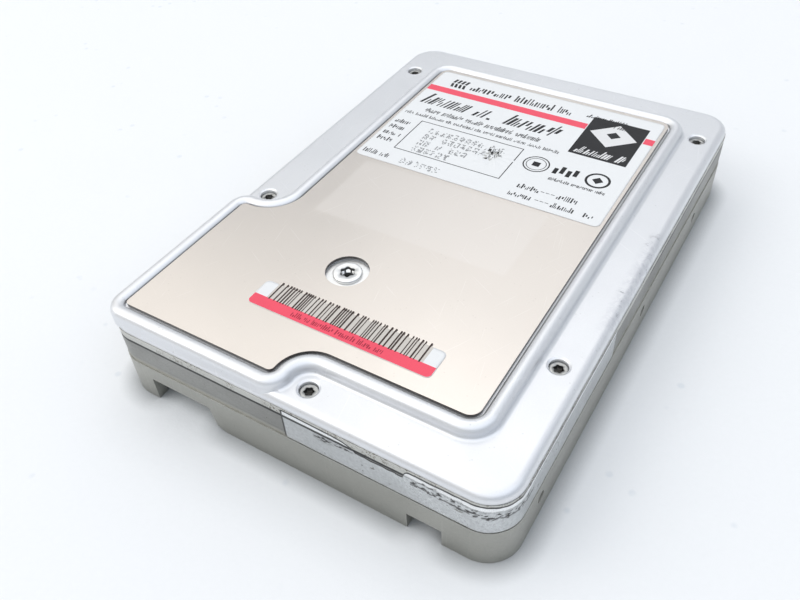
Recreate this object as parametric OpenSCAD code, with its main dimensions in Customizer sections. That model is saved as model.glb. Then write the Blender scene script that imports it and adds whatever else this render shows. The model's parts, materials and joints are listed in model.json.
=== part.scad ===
// 3.5-inch hard disk drive, one inch high.
// Millimetres. The origin is on the underside, at the centre of the case.
// +X is to the right, +Y points to the connector end and +Z points up.

/* [Case] */
// Width over the side mounting faces
case_w = 101.6; // [100.6:0.1:125]
// Length from the front face to the connector face
case_l = 146.05; // [144:0.05:180]
// Height of the base casting, up to the seam with the cover
base_h = 18.2; // [18:0.1:24]
// Radius of the case's vertical corners
corner_r = 8; // [6:0.5:9]
// Thickness of the casting's front wall and of its walls round the discs
wall_t = 2.7; // [2.2:0.1:3.2]
// Width of the mounting rails along both sides
rail_w = 6.8; // [6.2:0.1:8]
// Depth by which the taped band and the cover are set in from the mounting faces
band_inset = 0.3; // [0.3:0.05:0.6]
// Height at which the set-in band starts
band_z = 11; // [10:0.5:12]

/* [Cover] */
// Height of the cover's flange above the seam
flange_h = 4.4; // [4:0.1:6]
// Height of the raised ridge above the flange
ridge_h = 2.8; // [2.6:0.1:3.4]
// Width of the raised ridge
ridge_w = 3.6; // [3:0.1:4.2]
// Radius of the flange's outer edge
rim_r = 2; // [1.4:0.1:2.4]
// Sheet thickness of the cover's flange
cover_t = 1.8; // [1.4:0.1:2.2]
// Radius of the recesses for the cover screws
screw_recess_r = 2.1; // [2:0.1:2.6]

/* [Damping plate and labels] */
// Thickness of the damping plate
plate_t = 0.8; // [0.5:0.1:1.2]
// Depth of the plate's top face below the ridge
plate_drop = 0.5; // [0.3:0.1:0.8]
// Gap between the plate and the ridge
plate_gap = 0.35; // [0.2:0.05:0.6]
// Radius of the plate's hole over the actuator pivot
pivot_window_r = 5.15; // [4.6:0.05:6]
// Thickness of the labels
label_t = 0.1; // [0.08:0.01:0.2]
// Width of the main label
label_w = 69.5; // [60:0.5:71]
// Length of the main label
label_l = 51; // [40:0.5:54]
// Width of the barcode label
barcode_w = 46.6; // [30:0.2:60]
// Height of the barcode label
barcode_l = 7.8; // [6:0.2:12]

/* [Sealing tape] */
// Thickness of the sealing tape
tape_t = 0.12; // [0.08:0.01:0.15]
// Height of the tape's lower edge
tape_z = 12.4; // [11.5:0.1:13]
// Height of the tape
tape_h = 8; // [7:0.1:8.2]
// Length of the tape's overlap along the right side, from the front
overlap_l = 54; // [30:1:100]

/* [Discs and spindle] */
// Outer radius of the discs
disc_r = 47.5; // [45:0.1:47.6]
// Thickness of a disc
disc_t = 1.27; // [0.8:0.01:1.3]
// Gap between the two discs
disc_gap = 3.13; // [3:0.01:3.3]
// Radius of the hub that the discs sit on
hub_r = 12.5; // [12.2:0.1:13]
// Radius of the fixed spindle and pivot shafts
shaft_r = 3; // [2.6:0.1:3.2]
// Outer radius of the ball bearings
bearing_r = 6.5; // [6.3:0.1:7]
// Height of a ball bearing
bearing_h = 3; // [2.6:0.1:3]
// Balls in a bearing
ball_count = 8; // [6:1:9]
// Teeth on the motor's stator
stator_teeth = 9; // [6:3:12]

/* [Head actuator] */
// Distance from the pivot to the read gap of the heads
arm_reach = 50; // [48:0.5:50]
// Outer radius of the actuator's pivot sleeve
sleeve_r = 9; // [8:0.1:9.4]
// Thickness of a head arm
arm_t = 1.1; // [0.8:0.1:1.2]
// Outer radius of the voice coil
coil_r = 31.5; // [28:0.5:32]
// Half of the angle that the voice coil spans
coil_half_angle = 17.5; // [14:0.5:18]
// Thickness of the voice coil
coil_t = 2.2; // [1.6:0.1:2.4]
// Thickness of a magnet
magnet_t = 2; // [1.5:0.1:2.2]
// Thickness of a steel yoke plate
yoke_t = 2; // [1.5:0.1:2]

/* [Circuit board and connectors] */
// Height of the board's underside above the case's underside
board_z = 4; // [3.6:0.1:4]
// Thickness of the circuit board
board_t = 1.6; // [1.2:0.1:1.6]
// Contacts in one row of the data connector
data_columns = 20; // [10:1:20]
// Pitch of the data and jumper pins
pin_pitch = 2.54;
// Pitch of the power pins
power_pitch = 5.08;

/* [Hidden] */
$fn = 64;
eps = 0.01;

// Case: overall places
half_w = case_w / 2;
half_l = case_l / 2;
band_w = case_w - 2 * band_inset;
band_l = case_l - 2 * band_inset;
band_r = corner_r - band_inset;
flange_z = base_h + flange_h;
ridge_z = flange_z + ridge_h;
plate_top_z = ridge_z - plate_drop;
plate_z = plate_top_z - plate_t;
plateau_roof_z = plate_z - 1.4;
flange_roof_z = flange_z - cover_t;
label_z = plate_top_z;

// Case: floor and board space
board_top_z = board_z + board_t;
floor_z = board_top_z + 1.3;
floor_t = 1.8;
inner_floor_z = floor_z + floor_t;
front_inner_y = -half_l + wall_t;
breather_place = [half_w - 13, front_inner_y + 12];

// Spindle and pivot, placed from the connector end
spindle = [0, half_l - 52.025];
pivot = spindle + [-8, -57];
disc_clearance = 0.9;
disc_bay_r = disc_r + disc_clearance;

// Cover screws, placed from the case's edges
screw_far_left = [-half_w + 6.2, half_l - 16.8];
screw_far_right = [half_w - 5.9, half_l - 16];
screw_left = [-half_w + 5.8, -half_l + 54.3];
screw_front = [3.4, -half_l + 5.8];
screw_right = [half_w - 6.2, -half_l + 35.6];
cover_screw_places = [screw_far_left, screw_far_right, screw_left, screw_front, screw_right];
cover_screw_r = 1.05;
cover_boss_r = 3.6;
screw_seat_z = flange_z - 2.2;

// Plate outline: a main field, and a lobe over the voice coil at the front left.
// Two bays step round the front screw and the left screw.
front_bay_r = 7.75;
left_bay_r = 9.4;
field_left = -half_w + 16.2;
field_right = half_w - 13.5;
field_front = screw_front[1] + front_bay_r;
field_far = half_l - 15;
field_r = 3;
lobe_left = -half_w + 4.4;
lobe_right = screw_front[0] - front_bay_r;
lobe_front = -half_l + 4.05;
lobe_far = screw_left[1] - 7.8;
lobe_r = 1.5;
ridge_mid = ridge_w / 2;
ridge_round_r = ridge_w / 2;
foot_r = 0.9;

// Mounting holes: 6-32 UNC tapping size
mount_r = 1.42;
mount_depth = 4.5;
side_hole_z = 6.35;
side_hole_y = [half_l - 28.5, half_l - 70.11, half_l - 130.1];
bottom_hole_x = half_w - 3.175;
bottom_hole_y = [half_l - 41.28, half_l - 85.73];

// Spindle motor heights
well_r = hub_r + 0.9;
well_z = board_z + 1.6;
race_lift = 0.4;
lower_bearing_z = well_z + race_lift;
disc_z = inner_floor_z + 3.5;
upper_disc_z = disc_z + disc_t + disc_gap;
disc_stack_z = upper_disc_z + disc_t;
hub_top_z = disc_stack_z - 0.27;
upper_bearing_z = hub_top_z - bearing_h - 0.2;
stator_z = lower_bearing_z + bearing_h + 0.9;
stator_top_z = upper_bearing_z - 1.3;
magnet_ring_r = hub_r - 1.6;
stator_r = magnet_ring_r - 1.4;
clamp_r = 16;
clamp_t = 1.1;
top_screw_r = 1.5;
washer_t = 0.4;
washer_z = plate_z - 0.6;

// Actuator angles: the coil is opposite the arms
spindle_distance = norm(spindle - pivot);
spindle_angle = atan2(spindle[1] - pivot[1], spindle[0] - pivot[0]);
park_r = 20;
park_offset = acos((arm_reach^2 + spindle_distance^2 - park_r^2) / (2 * arm_reach * spindle_distance));
arm_angle = spindle_angle - park_offset;
coil_angle = arm_angle + 180;
swing = 30;
sector_angle = coil_angle - swing / 2;
sleeve_z = inner_floor_z + 1;
sleeve_top_z = sleeve_z + 11;
arm_mid_z = disc_z + disc_t + disc_gap / 2;
coil_z = arm_mid_z - coil_t / 2;
coil_inner_r = 15.5;
coil_winding_w = 4;
frame_r = coil_r + 1.3;
frame_half_angle = coil_half_angle + 2.5;
frame_t = coil_t + 0.2;
yoke_gap = 8;
lower_yoke_z = inner_floor_z;
upper_yoke_z = lower_yoke_z + yoke_t + yoke_gap;
yoke_inner_r = 14;
yoke_r = frame_r + 1.1;
post_r = 2.2;
post_places = [[22, sector_angle - 49], [22, sector_angle + 49], [frame_r + 4.2, sector_angle]];
beam_t = 0.15;
fly_gap = 0.05;
arm_levels = [disc_z - 1.6, arm_mid_z, disc_stack_z + 1.6];

// Connector end
rear_corner_w = 5.4;
shell_y = half_l - 9.05;
board_far_y = shell_y - 0.1;
connector_z = board_z + board_t / 2;
data_w = data_columns * pin_pitch + 5.6;
data_h = 8.8;
data_x = half_w - rear_corner_w - 0.3 - data_w / 2;
data_roof_z = connector_z + data_h / 2 + 0.3;
power_w = 23.6;
power_h = 10.2;
power_x = -half_w + rear_corner_w + 0.3 + power_w / 2;
power_z = connector_z + 0.8;
power_roof_z = power_z + power_h / 2 + 0.2;
rear_floor_z = power_roof_z + 0.5;
pocket_split_x = power_x + power_w / 2 + 0.3;
jumper_columns = 3;
jumper_x = (pocket_split_x + data_x - data_w / 2) / 2;
pin_w = 0.64;
keyed_column = 9;
power_pin_r = 1.05;
connector_back_t = 2.4;
pin_tip_y = half_l - 1.2;
pin_tail_y = board_far_y - 2.4;

// Circuit board
board_half_w = half_w - rail_w - 0.8;
board_wide_half_w = half_w - rear_corner_w - 0.4;
board_wide_y = half_l - 14;
board_front_y = front_inner_y + 0.9;
board_screw_places = [[-board_half_w + 3.4, board_front_y + 3.6],
                      [board_half_w - 3.4, board_front_y + 3.6],
                      [-board_half_w + 3.4, half_l - 62],
                      [board_half_w - 3.4, half_l - 62],
                      [-board_half_w + 3.4, half_l - 17.5],
                      [board_half_w - 3.4, half_l - 17.5]];
board_boss_r = 2.7;
board_screw_r = 1;

// ---------- shared shapes ----------

module at(place, z = 0) {
    translate([place[0], place[1], z]) children();
}

module ring(r_out, r_in, h) {
    difference() {
        cylinder(r = r_out, h = h);
        translate([0, 0, -eps]) cylinder(r = r_in, h = h + 2 * eps);
    }
}

module rounded_rect(w, l, r) {
    square([w - 2 * r, l], center = true);
    square([w, l - 2 * r], center = true);
    for (sx = [-1, 1], sy = [-1, 1])
        translate([sx * (w / 2 - r), sy * (l / 2 - r)]) circle(r = r);
}

// A rectangle given by its edges, with rounded corners
module field(left, right, front, far, r) {
    translate([(left + right) / 2, (front + far) / 2])
        rounded_rect(right - left, far - front, r);
}

module quarter_disc(r) {
    intersection() {
        circle(r = r);
        square(r);
    }
}

// The rounded top edge of a slab with rounded corners
module edge_round(w, l, r, e) {
    for (k = [0:3]) {
        sx = (k == 0 || k == 3) ? 1 : -1;
        sy = (k < 2) ? 1 : -1;
        translate([sx * (w / 2 - r), sy * (l / 2 - r), 0])
            rotate([0, 0, 90 * k])
                rotate_extrude(angle = 90) translate([r - e, 0]) quarter_disc(e);
    }
    for (s = [0, 180]) {
        rotate([0, 0, s]) translate([w / 2 - e, l / 2 - r, 0])
            rotate([90, 0, 0]) linear_extrude(l - 2 * r) quarter_disc(e);
        rotate([0, 0, s]) translate([-w / 2 + r, l / 2 - e, 0])
            rotate([90, 0, 90]) linear_extrude(w - 2 * r) quarter_disc(e);
    }
}

// A sector of a disc between two radii, centred on an angle
module sector(r_in, r_out, angle, half_angle) {
    reach = 2 * r_out;
    difference() {
        intersection() {
            circle(r = r_out);
            rotate(angle)
                polygon([[0, 0], reach * [cos(half_angle), -sin(half_angle)],
                         [reach, 0], reach * [cos(half_angle), sin(half_angle)]]);
        }
        circle(r = r_in);
    }
}

// A screw with a hexagon recess: the origin is under its head, and it points down
module screw(head_r, head_h, shank_r, shank_l, recess_r) {
    difference() {
        union() {
            cylinder(r = head_r, h = head_h);
            translate([0, 0, -shank_l]) cylinder(r = shank_r, h = shank_l);
        }
        translate([0, 0, head_h * 0.35]) cylinder(r = recess_r, h = head_h, $fn = 6);
    }
}

// ---------- plate outline and ridge ----------

// The centres of the two bays in the outline
bay_front = [lobe_right + front_bay_r, field_front - front_bay_r];
bay_left = [field_left - left_bay_r, lobe_far + left_bay_r];

// The plate's outline, grown outwards by d
module plate_outline(d) {
    front_r = front_bay_r - d;
    left_r = left_bay_r - d;
    lap = 1;
    field(field_left - d, field_right + d, field_front - d, field_far + d, field_r + d);
    field(lobe_left - d, lobe_right + d, lobe_front - d, lobe_far + d, lobe_r + d);
    difference() {
        translate([bay_front[0] - front_r - lap, bay_front[1]]) square(front_r + lap);
        at(bay_front) circle(r = front_r);
    }
    difference() {
        translate([bay_left[0], bay_left[1] - left_r - lap]) square(left_r + lap);
        at(bay_left) circle(r = left_r);
    }
}

// The ridge in section: +x is the outer side, and y = 0 is the flange
module ridge_profile() {
    crown_y = ridge_h - ridge_round_r;
    translate([0, crown_y]) circle(r = ridge_round_r);
    translate([-ridge_round_r, -1.6]) square([ridge_w, crown_y + 1.6]);
}

// The hollow curve at the ridge's outer foot
module foot_profile() {
    translate([ridge_round_r, 0]) difference() {
        translate([-0.2, -0.5]) square([foot_r + 0.2, foot_r + 0.5]);
        translate([foot_r, foot_r]) circle(r = foot_r);
    }
}

module ridge_arc(centre, r, start, outer = true) {
    at(centre, flange_z) rotate([0, 0, start]) rotate_extrude(angle = 90)
        translate([r, 0]) mirror([outer ? 0 : 1, 0]) children();
}

// A straight stretch of ridge: it runs clockwise, with its outer side to the left
module ridge_line(start, heading, length) {
    at(start, flange_z) rotate([0, 0, heading]) rotate([90, 0, 90])
        linear_extrude(length) children();
}

// The closed path of the ridge, as tangent arcs and straight stretches,
// which sweeps the section that it is given
module ridge_sweep() {
    m = ridge_mid;
    outer_r = field_r + m;
    lobe_outer_r = lobe_r + m;
    ridge_arc([field_right - field_r, field_front + field_r], outer_r, -90) children();
    ridge_arc([field_right - field_r, field_far - field_r], outer_r, 0) children();
    ridge_arc([field_left + field_r, field_far - field_r], outer_r, 90) children();
    ridge_arc([lobe_left + lobe_r, lobe_far - lobe_r], lobe_outer_r, 90) children();
    ridge_arc([lobe_left + lobe_r, lobe_front + lobe_r], lobe_outer_r, 180) children();
    ridge_arc([lobe_right - lobe_r, lobe_front + lobe_r], lobe_outer_r, 270) children();
    ridge_arc(bay_front, front_bay_r - m, 90, false) children();
    ridge_arc(bay_left, left_bay_r - m, 270, false) children();
    ridge_line([field_right - field_r, field_front - m], 180,
               field_right - field_r - bay_front[0]) children();
    ridge_line([lobe_right + m, bay_front[1]], 270,
               bay_front[1] - lobe_front - lobe_r) children();
    ridge_line([lobe_right - lobe_r, lobe_front - m], 180,
               lobe_right - lobe_left - 2 * lobe_r) children();
    ridge_line([lobe_left - m, lobe_front + lobe_r], 90,
               lobe_far - lobe_front - 2 * lobe_r) children();
    ridge_line([lobe_left + lobe_r, lobe_far + m], 0,
               bay_left[0] - lobe_left - lobe_r) children();
    ridge_line([field_left - m, bay_left[1]], 90,
               field_far - field_r - bay_left[1]) children();
    ridge_line([field_left + field_r, field_far + m], 0,
               field_right - field_left - 2 * field_r) children();
    ridge_line([field_right + m, field_far - field_r], 270,
               field_far - field_front - 2 * field_r) children();
}

module ridge() {
    ridge_sweep() ridge_profile();
    // the foot curve lies only where the flange is flat
    intersection() {
        ridge_sweep() foot_profile();
        translate([0, 0, flange_z - 1]) linear_extrude(3)
            rounded_rect(band_w - 2 * rim_r, band_l - 2 * rim_r, band_r - rim_r);
    }
}

// ---------- base casting ----------

// The space inside the casting, seen from above
module bay_outline() {
    difference() {
        union() {
            at(spindle) circle(r = disc_bay_r);
            field(-half_w + 3.2, half_w - 3.2, front_inner_y, spindle[1] - 26, 5);
            field(screw_far_left[0] + 1, spindle[0] - 31, half_l - 11.5, half_l - 3.7, 1.5);
        }
        for (p = cover_screw_places) at(p) circle(r = cover_boss_r);
    }
}

module notch(left, right, height, slope) {
    translate([0, -half_l - 1, 0]) rotate([90, 0, 0]) mirror([0, 0, 1])
        linear_extrude(wall_t + 1.2)
            polygon([[left, -1], [left, height], [right, height],
                     [right + slope / 3, 1.4], [right + slope, 0], [right + slope, -1]]);
}

module base_casting() {
    board_space_h = floor_z + 1;
    color([0.56, 0.58, 0.55])
    difference() {
        union() {
            linear_extrude(band_z) rounded_rect(case_w, case_l, corner_r);
            linear_extrude(base_h) rounded_rect(band_w, band_l, band_r);
        }
        // space for the circuit board, under the floor
        difference() {
            translate([0, 0, -1]) linear_extrude(board_space_h) union() {
                field(-half_w + rail_w, half_w - rail_w, front_inner_y, half_l - 10, 2);
                field(-half_w + rear_corner_w, half_w - rear_corner_w, board_wide_y - 1,
                      half_l + 20, 2);
            }
            for (p = board_screw_places) at(p, board_top_z) cylinder(r = board_boss_r, h = 3);
            at(spindle, board_z + 0.4) cylinder(r = well_r + 1.4, h = 4);
            at(pivot, board_top_z + 0.2) cylinder(r = 5, h = 3);
        }
        // pockets for the connectors
        translate([pocket_split_x, shell_y - 0.3, -1])
            cube([half_w - rear_corner_w - pocket_split_x, 20, data_roof_z + 1]);
        translate([-half_w + rear_corner_w, shell_y - 0.3, -1])
            cube([pocket_split_x + half_w - rear_corner_w, 20, power_roof_z + 1]);
        // the disc and actuator bay, with its floor raised over the connectors
        difference() {
            translate([0, 0, inner_floor_z]) linear_extrude(base_h) bay_outline();
            translate([-half_w, shell_y - 1.6, 0]) cube([case_w, 20, rear_floor_z]);
            at(pivot, inner_floor_z - 1) cylinder(r = shaft_r + 1, h = 1.5);
        }
        // the motor well, with its raised seat for the lower bearing
        difference() {
            at(spindle, well_z) cylinder(r = well_r, h = base_h);
            at(spindle, well_z - 1) cylinder(r = shaft_r + 0.9, h = 1 + race_lift);
        }
        at(spindle, board_z + 0.8) cylinder(r = shaft_r, h = 5);
        at(pivot, board_top_z + 0.8) cylinder(r = shaft_r, h = 5);
        // threaded holes
        for (p = cover_screw_places) at(p, base_h - 8) cylinder(r = cover_screw_r, h = 9);
        for (p = board_screw_places)
            at(p, board_top_z - 1) cylinder(r = board_screw_r, h = 3.6);
        for (s = [-1, 1], y = side_hole_y)
            translate([s * (half_w + 1), y, side_hole_z]) rotate([0, -90 * s, 0])
                cylinder(r = mount_r, h = mount_depth + 1);
        for (s = [-1, 1], y = bottom_hole_y)
            translate([s * bottom_hole_x, y, -1]) cylinder(r = mount_r, h = mount_depth + 1);
        // notches in the front wall
        notch(-half_w + 11.2, -half_w + 28.5, floor_z, 3.3);
        notch(half_w - 21.8, half_w - 13.8, 5, 0);
        // breather hole through the floor
        at(breather_place) cylinder(r = 0.8, h = base_h);
    }
}

// ---------- cover ----------

module top_cover() {
    pocket_d = -1.5;
    color([0.84, 0.85, 0.87])
    difference() {
        union() {
            translate([0, 0, base_h])
                linear_extrude(flange_h - rim_r) rounded_rect(band_w, band_l, band_r);
            translate([0, 0, base_h]) linear_extrude(flange_h)
                rounded_rect(band_w - 2 * rim_r, band_l - 2 * rim_r, band_r - rim_r);
            translate([0, 0, flange_z - rim_r]) edge_round(band_w, band_l, band_r, rim_r);
            translate([0, 0, flange_roof_z]) linear_extrude(plate_z - flange_roof_z)
                plate_outline(ridge_mid);
            ridge();
        }
        // the hollow under the flange, and the deeper one under the plate
        translate([0, 0, base_h - 1]) linear_extrude(flange_roof_z - base_h + 1) bay_outline();
        translate([0, 0, flange_roof_z - 1]) linear_extrude(plateau_roof_z - flange_roof_z + 1)
            intersection() {
                plate_outline(pocket_d);
                bay_outline();
            }
        // screw holes and their recesses
        for (p = cover_screw_places) {
            at(p, base_h - 1) cylinder(r = cover_screw_r + 0.3, h = 9);
            at(p, screw_seat_z) cylinder(r = screw_recess_r, h = 9);
            at(p, flange_z - 0.3) cylinder(r1 = screw_recess_r, r2 = screw_recess_r + 0.5, h = 0.31);
        }
        at(pivot, base_h) cylinder(r = top_screw_r + 0.3, h = 9);
        at(pivot, washer_z) cylinder(r = pivot_window_r, h = 9);
        at(spindle, base_h) cylinder(r = top_screw_r + 0.3, h = 9);
    }
}

module damping_plate() {
    color([0.87, 0.84, 0.80])
    translate([0, 0, plate_z]) linear_extrude(plate_t) difference() {
        plate_outline(-plate_gap);
        at(pivot) circle(r = pivot_window_r);
        at(spindle) circle(r = 4.6);
    }
}

module cover_screws() {
    color([0.66, 0.67, 0.68])
    for (p = cover_screw_places)
        at(p, screw_seat_z) screw(screw_recess_r - 0.2, 1.3, cover_screw_r, 7.5, 1);
}

module pivot_washer() {
    color([0.93, 0.93, 0.92])
    at(pivot, washer_z) ring(pivot_window_r - 0.2, top_screw_r + 0.2, washer_t);
}

module pivot_top_screw() {
    color([0.86, 0.87, 0.88])
    at(pivot, washer_z + washer_t) screw(3.5, 0.75, top_screw_r, 4.8, 1.7);
}

module spindle_top_screw() {
    color([0.7, 0.71, 0.72])
    at(spindle, plate_z) screw(3.2, 0.7, top_screw_r, 5, 1.4);
}

module main_label() {
    label_y = field_far - 1.8 - label_l / 2;
    color([0.91, 0.92, 0.92])
    at([(field_left + field_right) / 2, label_y], label_z)
        linear_extrude(label_t) rounded_rect(label_w, label_l, 1.6);
}

module barcode_label() {
    color([0.96, 0.96, 0.95])
    at([1.1, field_front + 8.4], label_z)
        linear_extrude(label_t) rounded_rect(barcode_w, barcode_l, 1.2);
}

// One layer of tape round the seam, a given depth outside the cover's skirt
module tape_layer(depth) {
    linear_extrude(tape_h) difference() {
        rounded_rect(band_w + 2 * depth + 2 * tape_t, band_l + 2 * depth + 2 * tape_t,
                     band_r + depth + tape_t);
        rounded_rect(band_w + 2 * depth, band_l + 2 * depth, band_r + depth);
    }
}

module seal_tape() {
    color([0.66, 0.68, 0.68])
    translate([0, 0, tape_z]) tape_layer(0);
}

module seal_tape_overlap() {
    color([0.85, 0.88, 0.89])
    intersection() {
        translate([0, 0, tape_z - 1.2]) tape_layer(tape_t);
        translate([-0.4, -half_l - 1, 0]) cube([case_w, overlap_l + 1, ridge_z]);
    }
}

// ---------- bearings ----------

race_wall = (bearing_r - shaft_r) * 0.3;
ball_pitch_r = (bearing_r + shaft_r) / 2;
ball_r = min(bearing_h * 0.34, (bearing_r - shaft_r) * 0.28);
groove_r = ball_r + 0.06;

module race(r_out, r_in) {
    difference() {
        ring(r_out, r_in, bearing_h);
        translate([0, 0, bearing_h / 2]) rotate_extrude()
            translate([ball_pitch_r, 0]) circle(r = groove_r);
    }
}

module balls() {
    for (k = [0:ball_count - 1])
        rotate([0, 0, k * 360 / ball_count]) translate([ball_pitch_r, 0, bearing_h / 2])
            sphere(r = ball_r);
}

pivot_bearing_z = [sleeve_z + 0.4, sleeve_top_z - bearing_h - 0.4];
spindle_bearing_z = [lower_bearing_z, upper_bearing_z];

module spindle_inner_races() {
    color([0.78, 0.79, 0.8])
    for (z = spindle_bearing_z) at(spindle, z) race(shaft_r + race_wall, shaft_r);
}

module spindle_balls() {
    color([0.9, 0.9, 0.92])
    for (z = spindle_bearing_z) at(spindle, z) balls();
}

module spindle_outer_races() {
    color([0.72, 0.73, 0.75])
    for (z = spindle_bearing_z) at(spindle, z) race(bearing_r, bearing_r - race_wall);
}

module pivot_inner_races() {
    color([0.78, 0.79, 0.8])
    for (z = pivot_bearing_z) at(pivot, z) race(shaft_r + race_wall, shaft_r);
}

module pivot_balls() {
    color([0.9, 0.9, 0.92])
    for (z = pivot_bearing_z) at(pivot, z) balls();
}

module pivot_outer_races() {
    color([0.72, 0.73, 0.75])
    for (z = pivot_bearing_z) at(pivot, z) race(bearing_r, bearing_r - race_wall);
}

// ---------- spindle motor and discs ----------

module top_threaded_shaft(place, foot_z) {
    at(place) difference() {
        translate([0, 0, foot_z]) cylinder(r = shaft_r, h = plateau_roof_z - foot_z);
        translate([0, 0, plateau_roof_z - 5]) cylinder(r = top_screw_r, h = 6);
    }
}

module spindle_shaft() {
    color([0.74, 0.75, 0.77]) top_threaded_shaft(spindle, board_z + 0.8);
}

module stator_core() {
    tooth_w = 1.5;
    shoe_angle = 360 / stator_teeth - 12;
    color([0.5, 0.5, 0.52])
    at(spindle, stator_z) linear_extrude(stator_top_z - stator_z) difference() {
        union() {
            circle(r = shaft_r + 1.4);
            for (k = [0:stator_teeth - 1]) rotate(k * 360 / stator_teeth) {
                translate([0, -tooth_w / 2]) square([stator_r - 0.4, tooth_w]);
                sector(stator_r - 0.9, stator_r, 0, shoe_angle / 2);
            }
        }
        circle(r = shaft_r);
    }
}

module stator_windings() {
    tooth_w = 1.5;
    core_h = stator_top_z - stator_z;
    winding_l = stator_r - shaft_r - 3.1;
    color([0.72, 0.4, 0.2])
    for (k = [0:stator_teeth - 1])
        at(spindle, stator_z) rotate([0, 0, k * 360 / stator_teeth])
            translate([shaft_r + 1.7, 0, 0]) difference() {
                translate([0, -tooth_w / 2 - 0.4, -0.5])
                    cube([winding_l, tooth_w + 0.8, core_h + 1]);
                translate([-1, -tooth_w / 2, 0]) cube([winding_l + 2, tooth_w, core_h]);
            }
}

module spindle_hub() {
    color([0.8, 0.81, 0.82])
    at(spindle) difference() {
        rotate_extrude() polygon([[magnet_ring_r, lower_bearing_z], [hub_r + 0.4, lower_bearing_z],
            [hub_r + 0.4, disc_z - 1.3], [clamp_r, disc_z - 1.3], [clamp_r, disc_z],
            [hub_r, disc_z], [hub_r, hub_top_z], [bearing_r, hub_top_z],
            [bearing_r, upper_bearing_z], [bearing_r - 0.5, upper_bearing_z],
            [bearing_r - 0.5, upper_bearing_z - 0.5], [magnet_ring_r, upper_bearing_z - 0.5]]);
        for (k = [0:5]) rotate([0, 0, 60 * k]) translate([9.5, 0, hub_top_z - 2.8])
            cylinder(r = 0.8, h = 4);
    }
}

module hub_end_cap() {
    color([0.7, 0.71, 0.72])
    at(spindle, lower_bearing_z) ring(magnet_ring_r, bearing_r, bearing_h);
}

module rotor_magnet() {
    foot_z = lower_bearing_z + bearing_h + 0.2;
    color([0.3, 0.3, 0.32])
    at(spindle, foot_z) ring(magnet_ring_r, magnet_ring_r - 1, upper_bearing_z - 0.8 - foot_z);
}

module disc(z) {
    at(spindle, z) ring(disc_r, hub_r, disc_t);
}

module lower_disc() {
    color([0.75, 0.74, 0.73]) disc(disc_z);
}

module upper_disc() {
    color([0.75, 0.74, 0.73]) disc(upper_disc_z);
}

module disc_spacer() {
    color([0.82, 0.83, 0.84])
    at(spindle, disc_z + disc_t) ring(clamp_r - 0.5, hub_r, disc_gap);
}

module disc_clamp() {
    seat_z = disc_stack_z;
    color([0.83, 0.84, 0.85])
    at(spindle) difference() {
        rotate_extrude() polygon([[bearing_r - 1, hub_top_z], [hub_r - 1, hub_top_z],
            [hub_r, seat_z], [clamp_r, seat_z], [clamp_r, seat_z + clamp_t - 0.3],
            [clamp_r - 0.3, seat_z + clamp_t], [bearing_r - 1, seat_z + clamp_t]]);
        for (k = [0:5]) rotate([0, 0, 60 * k]) translate([9.5, 0, hub_top_z - 1])
            cylinder(r = 1, h = 4);
    }
}

module clamp_screws() {
    color([0.6, 0.61, 0.62])
    for (k = [0:5]) at(spindle, disc_stack_z + clamp_t) rotate([0, 0, 60 * k])
        translate([9.5, 0, 0]) screw(1.7, 0.9, 0.8, 3.6, 0.8);
}

// ---------- head actuator ----------

module pivot_shaft() {
    color([0.74, 0.75, 0.77]) difference() {
        top_threaded_shaft(pivot, board_top_z + 0.8);
    }
}

// One head arm, in plan, pointing along +x
module arm_outline() {
    root_w = 13;
    tip_w = 6;
    arm_l = 32;
    difference() {
        union() {
            polygon([[0, -root_w / 2], [8, -root_w / 2], [arm_l, -tip_w / 2],
                     [arm_l, tip_w / 2], [8, root_w / 2], [0, root_w / 2]]);
            translate([arm_l, 0]) circle(r = tip_w / 2);
        }
        // weight-saving cut, and the hole that the suspension is swaged into
        polygon([[12, -2.6], [24, -1.3], [24, 1.3], [12, 2.6]]);
        translate([arm_l, 0]) circle(r = 1.2);
    }
}

module actuator_block() {
    color([0.7, 0.71, 0.72])
    at(pivot) difference() {
        union() {
            translate([0, 0, sleeve_z]) cylinder(r = sleeve_r, h = sleeve_top_z - sleeve_z);
            for (z = arm_levels) translate([0, 0, z - arm_t / 2]) rotate([0, 0, arm_angle])
                linear_extrude(arm_t) arm_outline();
        }
        translate([0, 0, sleeve_z - 1]) cylinder(r = bearing_r, h = 20);
    }
}

module coil_outline(inset) {
    half = coil_half_angle - inset * 1.6;
    sector(coil_inner_r + inset, coil_r - inset, 0, half);
}

module coil_frame() {
    color([0.2, 0.2, 0.22])
    at(pivot, arm_mid_z - frame_t / 2) rotate([0, 0, coil_angle]) linear_extrude(frame_t)
        difference() {
            union() {
                sector(sleeve_r, frame_r, 0, frame_half_angle);
                sector(sleeve_r, sleeve_r + 2, 0, 60);
            }
            coil_outline(0);
        }
}

module voice_coil() {
    color([0.72, 0.42, 0.22])
    at(pivot, coil_z) rotate([0, 0, coil_angle]) linear_extrude(coil_t) difference() {
        coil_outline(0);
        coil_outline(coil_winding_w);
    }
}

// Where each head flies: the height of its disc face, and the side it faces
head_faces = [[disc_z, 1, 0], [disc_z + disc_t, -1, 1], [upper_disc_z, 1, 1],
              [disc_stack_z, -1, 2]];

module head_suspensions() {
    beam_l = arm_reach - 27;
    color([0.8, 0.8, 0.78])
    at(pivot) for (h = head_faces) {
        arm_face_z = arm_levels[h[2]] + h[1] * arm_t / 2;
        beam_z = arm_face_z + (h[1] > 0 ? 0 : -beam_t);
        translate([0, 0, beam_z]) rotate([0, 0, arm_angle]) translate([27, 0, 0])
            linear_extrude(beam_t)
                polygon([[0, -2.6], [7, -2.6], [beam_l, -0.5], [beam_l + 1.2, -0.5],
                         [beam_l + 1.2, 0.5], [beam_l, 0.5], [7, 2.6], [0, 2.6]]);
    }
}

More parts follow.
